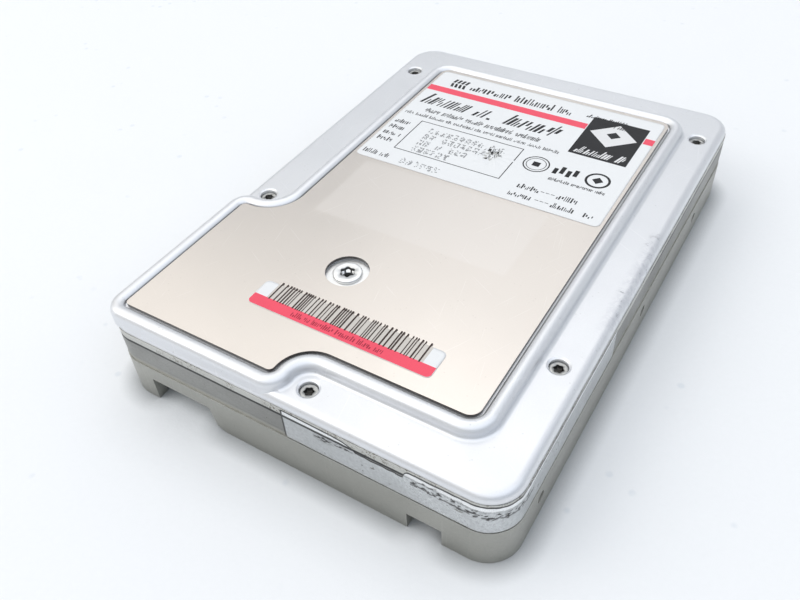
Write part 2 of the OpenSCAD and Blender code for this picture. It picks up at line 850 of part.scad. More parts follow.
module head_sliders() {
    slider_l = 2.8;
    slider_w = 2.2;
    color([0.25, 0.25, 0.27])
    at(pivot) for (h = head_faces) {
        beam_face_z = arm_levels[h[2]] + h[1] * (arm_t / 2 + beam_t);
        face_z = h[0] - h[1] * fly_gap;
        low_z = min(beam_face_z, face_z);
        rotate([0, 0, arm_angle]) translate([arm_reach - slider_l / 2, -slider_w / 2, low_z])
            cube([slider_l, slider_w, abs(beam_face_z - face_z)]);
    }
}

module yoke_outline() {
    sector(yoke_inner_r, yoke_r, sector_angle, 36);
    sector(yoke_inner_r, 25.5, sector_angle, 50);
    for (p = post_places) rotate(p[1]) translate([p[0], 0]) circle(r = post_r + 1.3);
    rotate(sector_angle) translate([yoke_r - 2, -post_r - 1.3])
        square([post_places[2][0] - yoke_r + 2, 2 * post_r + 2.6]);
}

module lower_yoke() {
    color([0.62, 0.63, 0.64])
    at(pivot, lower_yoke_z) linear_extrude(yoke_t) yoke_outline();
}

module upper_yoke() {
    color([0.62, 0.63, 0.64])
    at(pivot, upper_yoke_z) difference() {
        linear_extrude(yoke_t) yoke_outline();
        for (p = post_places) rotate([0, 0, p[1]]) translate([p[0], 0, -1])
            cylinder(r = 1.1, h = yoke_t + 2);
        for (p = post_places) rotate([0, 0, p[1]]) translate([p[0], 0, yoke_t - 0.9])
            cylinder(r = 2, h = 2);
    }
}

module magnet() {
    linear_extrude(magnet_t) sector(coil_inner_r + 1, coil_r - 0.5, sector_angle, 29);
}

module lower_magnet() {
    color([0.74, 0.74, 0.76]) at(pivot, lower_yoke_z + yoke_t) magnet();
}

module upper_magnet() {
    color([0.74, 0.74, 0.76]) at(pivot, upper_yoke_z - magnet_t) magnet();
}

module yoke_posts() {
    color([0.66, 0.67, 0.68])
    at(pivot, lower_yoke_z + yoke_t) for (p = post_places)
        rotate([0, 0, p[1]]) translate([p[0], 0, 0]) difference() {
            cylinder(r = post_r, h = yoke_gap);
            translate([0, 0, yoke_gap - 4]) cylinder(r = 0.9, h = 5);
        }
}

module yoke_screws() {
    color([0.6, 0.61, 0.62])
    at(pivot, upper_yoke_z + yoke_t - 0.9) for (p = post_places)
        rotate([0, 0, p[1]]) translate([p[0], 0, 0]) screw(1.9, 0.8, 0.9, 4.4, 0.9);
}

// Rubber-sleeved pins that end the swing on either side of the coil frame
module crash_stops() {
    stop_r = 1.6;
    stop_place_r = 24;
    reach_angle = frame_half_angle + asin((stop_r + 0.15) / stop_place_r);
    color([0.15, 0.15, 0.15])
    at(pivot, lower_yoke_z + yoke_t)
        for (a = [coil_angle + reach_angle, coil_angle - swing - reach_angle])
            rotate([0, 0, a]) translate([stop_place_r, 0, 0])
                cylinder(r = stop_r, h = yoke_gap);
}

// ---------- flexible circuit and filters ----------

bracket_place = pivot + [28.5, -18];

module flex_bracket() {
    color([0.16, 0.16, 0.17])
    at(bracket_place, inner_floor_z) difference() {
        union() {
            linear_extrude(2.4) rounded_rect(18, 11, 2);
            translate([-9, -1.4, 0]) cube([14, 3, 9.4]);
        }
        translate([6.4, 2.4, -1]) cylinder(r = 1.1, h = 5);
    }
}

// A flat ribbon on edge: along the bracket, round a bend and up to the sleeve
module flex_cable() {
    ribbon_t = 0.2;
    ribbon_h = 6.4;
    bend_r = 5;
    end_x = 8;
    end_gap = 0.6;
    bend_x = pivot[0] + end_x + bend_r;
    run_y = bracket_place[1] + 1.6;
    end_y = pivot[1] - sqrt((sleeve_r + end_gap)^2 - end_x^2);
    color([0.78, 0.5, 0.16])
    translate([0, 0, inner_floor_z + 2.6]) {
        translate([bend_x, run_y, 0]) cube([bracket_place[0] - 1 - bend_x, ribbon_t, ribbon_h]);
        translate([bend_x, run_y + bend_r, 0]) rotate([0, 0, 180])
            rotate_extrude(angle = 90) translate([bend_r - ribbon_t, 0])
                square([ribbon_t, ribbon_h]);
        translate([bend_x - bend_r, run_y + bend_r, 0])
            cube([ribbon_t, end_y - run_y - bend_r, ribbon_h]);
    }
}

module recirculation_filter() {
    place = [(screw_far_left[0] + spindle[0] - 30) / 2, half_l - 6.5];
    color([0.93, 0.93, 0.9])
    at(place, rear_floor_z) linear_extrude(5.6) rounded_rect(9, 3.6, 1.6);
}

module breather_filter() {
    color([0.9, 0.9, 0.86])
    at(breather_place, inner_floor_z)
        linear_extrude(3.4) rounded_rect(15, 11, 3);
}

// ---------- circuit board ----------

module board_outline() {
    field(-board_half_w, board_half_w, board_front_y, board_far_y - 1, 1.5);
    field(-board_wide_half_w, board_wide_half_w, board_wide_y, board_far_y, 1);
}

module circuit_board() {
    color([0.1, 0.36, 0.22])
    translate([0, 0, board_z]) linear_extrude(board_t) difference() {
        board_outline();
        at(spindle) circle(r = well_r + 1.9);
        for (p = board_screw_places) at(p) circle(r = board_screw_r + 0.3);
    }
}

// A flat chip under the board, with its leads as a thin skirt
module chip(place, w, l, h) {
    at(place, board_z - h) {
        linear_extrude(h) rounded_rect(w, l, 0.4);
        translate([0, 0, h - 0.3]) linear_extrude(0.3) rounded_rect(w + 2.4, l + 2.4, 0.6);
    }
}

module controller_chip() {
    color([0.13, 0.13, 0.14]) chip([-16, front_inner_y + 32], 24, 24, 2.9);
}

module channel_chip() {
    color([0.13, 0.13, 0.14]) chip([20, front_inner_y + 26], 14, 14, 2.2);
}

module motor_driver_chip() {
    color([0.13, 0.13, 0.14]) chip([29, spindle[1] + 4], 14, 20, 2.4);
}

module firmware_chip() {
    color([0.13, 0.13, 0.14]) chip([-30, spindle[1] + 2], 14, 11.4, 2.6);
}

module crystal() {
    color([0.78, 0.79, 0.8])
    at([6, front_inner_y + 46], board_z - 2.6) linear_extrude(2.6) rounded_rect(4.6, 11, 2.2);
}

module board_insulator() {
    color([0.2, 0.2, 0.22])
    translate([0, 0, floor_z - 0.5]) linear_extrude(0.5) difference() {
        field(-board_half_w + 1, board_half_w - 1, board_front_y + 1, board_wide_y - 2, 2);
        at(spindle) circle(r = well_r + 1.9);
        at(pivot) circle(r = 5.4);
        for (p = board_screw_places) at(p) circle(r = board_boss_r + 0.5);
        at(breather_place) circle(r = 2);
    }
}

module board_screws() {
    color([0.7, 0.71, 0.72])
    for (p = board_screw_places)
        at(p, board_z) mirror([0, 0, 1]) screw(2.3, 1.3, board_screw_r, board_t + 2, 1);
}

// ---------- connectors ----------

// An open-ended shell that faces +Y: the outline is seen from the connector end
module shell(back, depth) {
    rotate([90, 0, 0]) difference() {
        translate([0, 0, -depth]) linear_extrude(depth) children(0);
        translate([0, 0, -depth - 1]) linear_extrude(depth - back + 1) children(1);
    }
}

module data_connector() {
    key_w = 4.4;
    depth = half_l - shell_y - 0.05;
    color([0.12, 0.12, 0.13])
    difference() {
        translate([data_x, shell_y, connector_z]) shell(connector_back_t, depth) {
            square([data_w, data_h], center = true);
            union() {
                square([data_w - 3.6, data_h - 2.2], center = true);
                translate([-key_w / 2, data_h / 2 - 1.6]) square([key_w, 3]);
            }
        }
        pin_row(data_columns, data_x, keyed_column) cube([pin_w, case_l, pin_w]);
    }
}

module pin_row(columns, centre_x, skip = -1) {
    for (c = [0:columns - 1], row = [-1, 1])
        if (!(c == skip && row == 1))
            translate([centre_x + (c - (columns - 1) / 2) * pin_pitch - pin_w / 2, pin_tail_y,
                       connector_z + row * pin_pitch / 2 - pin_w / 2])
                children();
}

module data_pins() {
    color([0.83, 0.7, 0.35])
    pin_row(data_columns, data_x, keyed_column)
        cube([pin_w, pin_tip_y - 0.8 - pin_tail_y, pin_w]);
}

// The four places of the power pins, on the back face of their shell
module power_row() {
    for (c = [0:3]) translate([power_x + (c - 1.5) * power_pitch, shell_y, power_z]) children();
}

module power_outline(w, h) {
    cut = h * 0.26;
    polygon([[-w / 2, -h / 2], [w / 2, -h / 2], [w / 2, h / 2 - cut], [w / 2 - cut, h / 2],
             [-w / 2 + cut, h / 2], [-w / 2, h / 2 - cut]]);
}

module power_connector() {
    depth = half_l - shell_y - 0.05;
    color([0.93, 0.92, 0.88])
    difference() {
        translate([power_x, shell_y, power_z]) shell(connector_back_t, depth) {
            square([power_w, power_h], center = true);
            power_outline(power_w - 2.2, power_h - 1.6);
        }
        power_row() translate([0, case_l, 0]) rotate([90, 0, 0])
            cylinder(r = power_pin_r + 0.02, h = case_l + 1);
    }
}

module power_pins() {
    pin_l = pin_tip_y - shell_y;
    tail_r = 0.6;
    color([0.8, 0.8, 0.78])
    power_row() {
        translate([0, pin_l, 0]) rotate([90, 0, 0]) cylinder(r = power_pin_r, h = pin_l);
        translate([0, 0, board_top_z + tail_r - power_z]) rotate([90, 0, 0])
            cylinder(r = tail_r, h = shell_y - pin_tail_y);
    }
}

module jumper_block() {
    color([0.12, 0.12, 0.13])
    difference() {
        translate([jumper_x - jumper_columns * pin_pitch / 2, shell_y, connector_z - pin_pitch])
            cube([jumper_columns * pin_pitch, connector_back_t, 2 * pin_pitch]);
        pin_row(jumper_columns, jumper_x) cube([pin_w, case_l, pin_w]);
    }
}

module jumper_pins() {
    color([0.83, 0.7, 0.35])
    pin_row(jumper_columns, jumper_x) cube([pin_w, pin_tip_y - pin_tail_y, pin_w]);
}

module jumper_cap() {
    cap_w = 2.3;
    cap_h = 2 * pin_pitch - 0.2;
    cap_y = shell_y + connector_back_t + 0.1;
    cap_l = half_l - 0.6 - cap_y;
    hole_w = pin_w + 0.04;
    color([0.1, 0.16, 0.5])
    translate([jumper_x + pin_pitch, cap_y, connector_z]) difference() {
        translate([-cap_w / 2, 0, -cap_h / 2]) cube([cap_w, cap_l, cap_h]);
        for (row = [-1, 1])
            translate([-hole_w / 2, -1, row * pin_pitch / 2 - hole_w / 2])
                cube([hole_w, cap_l + 0.6, hole_w]);
    }
}

base_casting();
top_cover();
damping_plate();
cover_screws();
pivot_washer();
pivot_top_screw();
spindle_top_screw();
main_label();
barcode_label();
seal_tape();
seal_tape_overlap();
spindle_shaft();
stator_core();
stator_windings();
spindle_inner_races();
spindle_balls();
spindle_outer_races();
spindle_hub();
hub_end_cap();
rotor_magnet();
lower_disc();
upper_disc();
disc_spacer();
disc_clamp();
clamp_screws();
pivot_shaft();
pivot_inner_races();
pivot_balls();
pivot_outer_races();
actuator_block();
coil_frame();
voice_coil();
head_suspensions();
head_sliders();
lower_yoke();
upper_yoke();
lower_magnet();
upper_magnet();
yoke_posts();
yoke_screws();
crash_stops();
flex_cable();
flex_bracket();
recirculation_filter();
breather_filter();
circuit_board();
controller_chip();
channel_chip();
motor_driver_chip();
firmware_chip();
crystal();
board_insulator();
board_screws();
data_connector();
data_pins();
power_connector();
power_pins();
jumper_block();
jumper_pins();
jumper_cap();
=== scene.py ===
import json
import math
import random

import bmesh
import bpy
from mathutils import Matrix, Vector, noise


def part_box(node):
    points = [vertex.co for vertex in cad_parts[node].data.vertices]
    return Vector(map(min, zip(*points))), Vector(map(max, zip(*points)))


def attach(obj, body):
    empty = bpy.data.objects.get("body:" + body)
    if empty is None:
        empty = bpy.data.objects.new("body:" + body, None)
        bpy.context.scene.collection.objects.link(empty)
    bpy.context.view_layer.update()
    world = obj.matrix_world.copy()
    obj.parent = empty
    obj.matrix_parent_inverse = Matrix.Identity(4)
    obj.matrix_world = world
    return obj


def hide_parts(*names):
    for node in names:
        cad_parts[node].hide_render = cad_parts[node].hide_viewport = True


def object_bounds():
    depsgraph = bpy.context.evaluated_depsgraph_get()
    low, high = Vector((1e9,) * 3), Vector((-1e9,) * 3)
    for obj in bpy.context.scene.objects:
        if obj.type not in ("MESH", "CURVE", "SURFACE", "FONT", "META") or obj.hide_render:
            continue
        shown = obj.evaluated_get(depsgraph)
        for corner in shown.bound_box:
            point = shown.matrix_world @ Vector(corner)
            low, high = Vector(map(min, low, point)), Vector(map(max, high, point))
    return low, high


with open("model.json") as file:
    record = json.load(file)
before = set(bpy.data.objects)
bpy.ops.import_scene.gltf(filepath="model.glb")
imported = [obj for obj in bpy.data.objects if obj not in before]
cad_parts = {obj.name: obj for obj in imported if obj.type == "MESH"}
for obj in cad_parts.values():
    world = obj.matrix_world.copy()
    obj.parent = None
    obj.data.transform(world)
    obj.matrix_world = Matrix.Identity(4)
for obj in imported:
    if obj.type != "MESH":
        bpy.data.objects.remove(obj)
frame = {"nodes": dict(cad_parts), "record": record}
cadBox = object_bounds()
nodes = frame["nodes"]
mm = 0.001
print("frame loaded:", len(nodes), "nodes")

# ---- helpers ----


def show(item):
    bpy.context.scene.collection.objects.link(item)


def wobble(x, y, z):
    return noise.noise(Vector((x, y, z)))


def unit(value):
    return max(0.0, min(1.0, value))


# ---- camera and light ----

cameraView = {
    "place": (0.076996, -0.142254, 0.144497),
    "looksAlong": (-0.40153, 0.60041, -0.69158),
    "roll": -3.549,
    "lens": 35.58,
}


def placeCamera(view):
    forward = Vector(view["looksAlong"]).normalized()
    level = forward.cross(Vector((0, 0, 1))).normalized()
    rise = level.cross(forward)
    roll = math.radians(view["roll"])
    right = math.cos(roll) * level + math.sin(roll) * rise
    up = right.cross(forward)
    camera = bpy.data.objects.new("camera", bpy.data.cameras.new("camera"))
    camera.matrix_world = Matrix.Translation(view["place"]) @ Matrix((right, up, -forward)).transposed().to_4x4()
    camera.data.lens = view["lens"]
    camera.data.sensor_width = 36
    camera.data.clip_start = 0.01
    show(camera)
    bpy.context.scene.camera = camera


lights = {
    # name: place, size, power in watts, colour
    "key": ((-0.55, -0.50, 0.72), 0.50, 0.8, (1.0, 0.995, 0.98)),
    "leftWindow": ((-0.85, -0.40, 0.36), 0.60, 0.6, (1.0, 1.0, 1.0)),
    "ceilingPanel": ((-0.17, 0.58, 0.68), 0.60, 0.42, (1.0, 0.99, 0.985)),
}
sky = {
    # heights are sines of elevation; the ceiling is bright and the walls are dimmer and bluer to the right
    "levels": ((0.0, 0.46), (0.30, 0.48), (0.46, 0.58), (0.53, 0.78), (0.60, 0.94), (0.66, 1.0)),
    "strength": 1.40,
    "left": (1.0, 0.997, 0.988),
    "right": (0.80, 0.86, 0.95),
}


def addLights():
    for name, (place, size, power, colour) in lights.items():
        lamp = bpy.data.lights.new(name, "AREA")
        lamp.shape = "DISK"
        lamp.size = size
        lamp.energy = power
        lamp.color = colour
        lampObject = bpy.data.objects.new(name, lamp)
        lampObject.location = place
        lampObject.rotation_euler = (-Vector(place)).to_track_quat("-Z", "Y").to_euler()
        show(lampObject)
    world = bpy.data.worlds.new("studio")
    world.use_nodes = True
    bpy.context.scene.world = world
    tree = world.node_tree
    background = tree.nodes["Background"]
    background.inputs["Strength"].default_value = sky["strength"]
    split = addNode(tree, "SeparateXYZ", i0=addNode(tree, "TexCoord").outputs["Generated"])
    ramp = addNode(tree, "ValToRGB", i0=split.outputs["Z"])
    ramp.color_ramp.interpolation = "LINEAR"
    stops = ramp.color_ramp.elements
    while len(stops) < len(sky["levels"]):
        stops.new(0.5)
    for stop, (height, level) in zip(stops, sky["levels"]):
        stop.position = height
        stop.color = (level, level, level, 1)
    side = addNode(tree, "MapRange", **{"Value": split.outputs["X"], "From Min": -0.5, "From Max": 0.8})
    tint = mixColour(tree, side.outputs[0], sky["left"], sky["right"])
    tree.links.new(mixColour(tree, 1.0, ramp.outputs[0], tint, "MULTIPLY"), background.inputs["Color"])


# ---- shader helpers ----


def makeGroup(name, inputs, outputs):
    group = bpy.data.node_groups.new(name, "ShaderNodeTree")
    kinds = {"v": "NodeSocketVector", "f": "NodeSocketFloat", "c": "NodeSocketColor"}
    for label, kind, value in inputs:
        socket = group.interface.new_socket(label, in_out="INPUT", socket_type=kinds[kind])
        if value is not None:
            socket.default_value = value
    for label, kind in outputs:
        group.interface.new_socket(label, in_out="OUTPUT", socket_type=kinds[kind])
    return group, group.nodes.new("NodeGroupInput"), group.nodes.new("NodeGroupOutput")


def newNode(tree, kind, settings=None, **values):
    # settings go to the node's own fields; values go to its sockets by name, or by number as i0, i1 and so on
    node = tree.nodes.new(kind)
    for key, value in (settings or {}).items():
        setattr(node, key, value)
    for key, value in values.items():
        socket = node.inputs[int(key[1:])] if key[0] == "i" and key[1:].isdigit() else node.inputs[key]
        if isinstance(value, bpy.types.NodeSocket):
            tree.links.new(value, socket)
        else:
            socket.default_value = value
    return node


def addNode(tree, kind, settings=None, **values):
    return newNode(tree, "ShaderNode" + kind, settings, **values)


def mathNode(tree, operation, first, second=0.0, third=0.0, clamp=False):
    return addNode(
        tree, "Math", {"operation": operation, "use_clamp": clamp}, i0=first, i1=second, i2=third,
    ).outputs[0]


def times(tree, first, second):
    return mathNode(tree, "MULTIPLY", first, second)


def mixColour(tree, factor, first, second, blend="MIX"):
    first, second = ((*c, 1) if isinstance(c, tuple) else c for c in (first, second))
    return addNode(tree, "Mix", {"data_type": "RGBA", "blend_type": blend}, i0=factor, i6=first, i7=second).outputs[2]


def noiseOf(tree, place, scale, detail, **values):
    return addNode(tree, "TexNoise", Vector=place, Scale=scale, Detail=detail, **values).outputs[0]


def attributeOf(tree, name):
    return addNode(tree, "Attribute", {"attribute_name": name}).outputs["Fac"]


def stepMask(tree, value, low, high):
    return addNode(
        tree, "MapRange", {"interpolation_type": "SMOOTHSTEP"}, **{"Value": value, "From Min": low, "From Max": high},
    ).outputs[0]


def makeGrainGroup():
    # fine grain, stretched by Stretch: cast skin, satin, brushed marks
    group, start, end = makeGroup(
        "surfaceGrain",
        [("Place", "v", None), ("Stretch", "v", (1, 1, 1)), ("Size", "f", 0.5), ("Detail", "f", 4.0)],
        [("Value", "f")],
    )
    stretched = addNode(
        group, "VectorMath", {"operation": "MULTIPLY"}, i0=start.outputs["Place"], i1=start.outputs["Stretch"],
    )
    perMetre = mathNode(group, "DIVIDE", 1000.0, start.outputs["Size"])
    fine = noiseOf(group, stretched.outputs[0], perMetre, start.outputs["Detail"], Roughness=0.6)
    group.links.new(fine, end.inputs[0])
    return group


def makeWearGroup():
    # bright or dirty edges, broken up by noise
    group, start, end = makeGroup(
        "edgeWear", [("Place", "v", None), ("Radius", "f", 0.0004), ("Break", "f", 2.0)], [("Mask", "f")]
    )
    soft = addNode(group, "Bevel", {"samples": 4}, Radius=start.outputs["Radius"])
    sharp = group.nodes.new("ShaderNodeNewGeometry")
    turned = addNode(
        group, "VectorMath", {"operation": "DOT_PRODUCT"}, i0=soft.outputs[0], i1=sharp.outputs["Normal"],
    )
    edge = stepMask(group, turned.outputs["Value"], 0.99, 0.84)
    perMetre = mathNode(group, "DIVIDE", 1000.0, start.outputs["Break"])
    patchy = noiseOf(group, start.outputs["Place"], perMetre, 5.0, Roughness=0.7)
    group.links.new(times(group, edge, stepMask(group, patchy, 0.38, 0.62)), end.inputs[0])
    return group


def makeScratchGroup():
    # sparse hairlines in two directions, some of them broken
    group, start, end = makeGroup(
        "hairScratches", [("Place", "v", None), ("Length", "f", 14.0), ("Amount", "f", 0.5)], [("Mask", "f")]
    )
    masks = []
    for angle, shift in ((0.5, 0.0), (-1.1, 0.37), (1.35, 0.71)):
        turned = addNode(
            group, "VectorRotate", {"rotation_type": "Z_AXIS"}, Vector=start.outputs["Place"], Angle=angle,
        )
        thin = addNode(group, "VectorMath", {"operation": "MULTIPLY"}, i0=turned.outputs[0], i1=(1, 40, 1))
        moved = addNode(group, "VectorMath", {"operation": "ADD"}, i0=thin.outputs[0], i1=(shift, shift, 0))
        perMetre = mathNode(group, "DIVIDE", 1000.0, start.outputs["Length"])
        lines = noiseOf(group, moved.outputs[0], perMetre, 2.0, Roughness=0.4)
        masks.append(stepMask(group, lines, 0.70, 0.76))
    total = mathNode(group, "MAXIMUM", mathNode(group, "MAXIMUM", masks[0], masks[1]), masks[2])
    group.links.new(times(group, total, start.outputs["Amount"]), end.inputs[0])
    return group


def makeStainGroup():
    # broad smudges and small specks of dust or dirt
    group, start, end = makeGroup(
        "smudgesAndSpecks", [
            ("Place", "v", None), ("Smudge", "f", 22.0), ("Speck", "f", 1.2),
        ], [("Smudges", "f"), ("Specks", "f")]
    )
    place = start.outputs["Place"]
    broad = noiseOf(group, place, mathNode(group, "DIVIDE", 1000.0, start.outputs["Smudge"]), 4.0, Distortion=0.6)
    cells = mathNode(group, "DIVIDE", 1000.0, start.outputs["Speck"])
    dots = addNode(group, "TexVoronoi", Vector=place, Scale=cells, Randomness=1.0)
    some = noiseOf(group, place, mathNode(group, "DIVIDE", 260.0, start.outputs["Speck"]), 1.0)
    near = stepMask(group, dots.outputs["Distance"], 0.20, 0.08)
    group.links.new(stepMask(group, broad, 0.35, 0.68), end.inputs["Smudges"])
    group.links.new(times(group, near, stepMask(group, some, 0.58, 0.64)), end.inputs["Specks"])
    return group


grainGroup = makeGrainGroup()
wearGroup = makeWearGroup()
scratchGroup = makeScratchGroup()
stainGroup = makeStainGroup()


def useGroup(tree, group, **values):
    return addNode(tree, "Group", {"node_tree": group}, **values)


def partsOf(material):
    tree = material.node_tree
    return tree, tree.nodes["Principled BSDF"], tree.nodes["Texture Coordinate"].outputs["Object"]


def startMaterial(name):
    material = bpy.data.materials.new(name)
    material.use_nodes = True
    material.node_tree.nodes.new("ShaderNodeTexCoord")
    return material, *partsOf(material)


def finishOf(
    name, colour, darker, metallic, roughness, grain, bump, roughSpread=0.12, stretch=(1, 1, 1), wear=0.0,
    wearColour=(0.9, 0.9, 0.9), wearRadius=0.0004, scratches=0.0, smudge=0.3, specks=0.0,
    speckColour=(0.1, 0.1, 0.1), coat=0.0, specular=0.5, sideColour=None, shadeAndGrime=None,
):
    # the finish of one material: colour varied by grain and smudges, worn edges, hairlines and bump
    material, tree, shader, place = startMaterial(name)
    grainNode = useGroup(tree, grainGroup, Place=place, Stretch=stretch, Size=grain)
    stains = useGroup(tree, stainGroup, Place=place)
    deep = tuple(c * darker for c in colour)
    tone = mixColour(tree, grainNode.outputs["Value"], deep, colour)
    tone = mixColour(tree, times(tree, stains.outputs["Smudges"], smudge), tone, deep)
    if specks:
        tone = mixColour(tree, times(tree, stains.outputs["Specks"], specks), tone, speckColour)
    height = grainNode.outputs["Value"]
    uneven = mathNode(
        tree, "ADD", times(tree, grainNode.outputs["Value"], 0.5), times(tree, stains.outputs["Smudges"], 0.5)
    )
    rough = mathNode(tree, "MULTIPLY_ADD", uneven, roughSpread * 2, roughness - roughSpread, clamp=True)
    if scratches:
        lines = useGroup(tree, scratchGroup, Place=place, Amount=scratches)
        tone = mixColour(tree, lines.outputs[0], tone, wearColour)
        height = mathNode(tree, "SUBTRACT", height, lines.outputs[0])
    if sideColour:
        # walls that stand upright, such as a sheet's cut edge, take this colour: partly a dark layer's own edge,
        # partly painted shade in gaps and holes
        facing = tree.nodes.new("ShaderNodeNewGeometry")
        upright = addNode(tree, "SeparateXYZ", i0=facing.outputs["Normal"]).outputs["Z"]
        wall = stepMask(tree, mathNode(tree, "ABSOLUTE", upright), 0.6, 0.3)
        tone = mixColour(tree, wall, tone, sideColour)
        metal = mathNode(tree, "MULTIPLY_ADD", wall, -metallic, metallic)
        tree.links.new(metal, shader.inputs["Metallic"])
    else:
        shader.inputs["Metallic"].default_value = metallic
    # painted shade and grime: the shadeAndGrime vertex attribute, set in screw sockets and along the tape's dark
    # lines, mixes in this colour
    if shadeAndGrime:
        shadeAndDirt = attributeOf(tree, "shadeAndGrime")
        tone = mixColour(tree, shadeAndDirt, tone, shadeAndGrime)
    if wear:
        worn = useGroup(tree, wearGroup, Place=place, Radius=wearRadius)
        tone = mixColour(tree, times(tree, worn.outputs[0], wear), tone, wearColour)
    tree.links.new(tone, shader.inputs["Base Color"])
    tree.links.new(rough, shader.inputs["Roughness"])
    shader.inputs["Coat Weight"].default_value = coat
    shader.inputs["Specular IOR Level"].default_value = specular
    if bump:
        relief = addNode(tree, "Bump", Strength=0.6, Distance=bump * mm, Height=height)
        tree.links.new(relief.outputs[0], shader.inputs["Normal"])
    return material


def coverMetal():
    # satin pressed aluminium: fine blasted grain, soft clouding, rubbed edges, and scuffs along the right rim
    material = finishOf(
        "coverAluminium", (0.80, 0.81, 0.83), darker=0.90, metallic=1.0, roughness=0.40, roughSpread=0.05, grain=0.28,
        bump=0.010,
        wear=0.35, wearColour=(0.94, 0.94, 0.95), scratches=0.25, smudge=0.25, specks=0.35,
        speckColour=(0.45, 0.45, 0.44), wearRadius=0.0006,
    )
    scuffs = {"inner": 0.0462, "outer": 0.0486, "front": -0.030, "back": 0.016}
    tree, shader, place = partsOf(material)
    split = addNode(tree, "SeparateXYZ", i0=place)
    zone = stepMask(tree, split.outputs["X"], scuffs["inner"], scuffs["outer"])
    zone = times(tree, zone, stepMask(tree, split.outputs["Y"], scuffs["front"], scuffs["front"] + 0.012))
    zone = times(tree, zone, stepMask(tree, split.outputs["Y"], scuffs["back"], scuffs["back"] - 0.010))
    marks = noiseOf(tree, place, 420.0, 6.0, Roughness=0.75, Distortion=1.2)
    dark = times(tree, zone, stepMask(tree, marks, 0.60, 0.68))
    dull = times(tree, zone, stepMask(tree, marks, 0.42, 0.55))
    socket = shader.inputs["Base Color"]
    tone = mixColour(tree, times(tree, dull, 0.4), socket.links[0].from_socket, (0.55, 0.56, 0.60))
    tone = mixColour(tree, times(tree, dark, 0.8), tone, (0.20, 0.20, 0.22))
    tree.links.new(tone, socket)
    return material


def castMetal():
    # bare die casting: grey-green skin with flow marks, pits and rubbed corners
    return finishOf(
        "castAluminium", (0.46, 0.457, 0.42), darker=0.74, metallic=0.85, roughness=0.46, roughSpread=0.08, grain=0.6,
        bump=0.03,
        wear=0.45, wearColour=(0.62, 0.62, 0.60), scratches=0.15, smudge=0.5, specks=0.4,
        speckColour=(0.2, 0.2, 0.18), wearRadius=0.0005,
    )


def plateMetal():
    # warm satin stainless sheet over a dark damping layer, with the ghost of a label that was peeled off
    ghost = {"centre": (-2.2 * mm, -8.4 * mm), "half": (25.6 * mm, 11.6 * mm), "soft": 1.2 * mm}
    material = finishOf(
        "plateSteel", (0.735, 0.685, 0.635), darker=0.95, metallic=1.0, roughness=0.30, roughSpread=0.035, grain=0.35,
        bump=0.004,
        scratches=0.22, wearColour=(0.93, 0.91, 0.89), smudge=0.35, specks=0.25, speckColour=(0.5, 0.46, 0.42),
        # near black upright walls: the damping layer's edge, and painted shade in the gap round the plate and in its
        # holes
        sideColour=(0.035, 0.03, 0.028),
    )
    tree, shader, place = partsOf(material)
    split = addNode(tree, "SeparateXYZ", i0=place)
    masks = []
    for axis in (0, 1):
        away = mathNode(tree, "ABSOLUTE", mathNode(tree, "SUBTRACT", split.outputs[axis], ghost["centre"][axis]))
        masks.append(stepMask(tree, away, ghost["half"][axis] + ghost["soft"], ghost["half"][axis]))
    patch = times(tree, masks[0], masks[1])
    socket = shader.inputs["Base Color"]
    tone = mixColour(tree, times(tree, patch, 0.28), socket.links[0].from_socket, (0.79, 0.755, 0.725))
    tree.links.new(tone, socket)
    roughSocket = shader.inputs["Roughness"]
    rough = mathNode(tree, "MULTIPLY_ADD", patch, 0.05, roughSocket.links[0].from_socket)
    tree.links.new(rough, roughSocket)
    return material


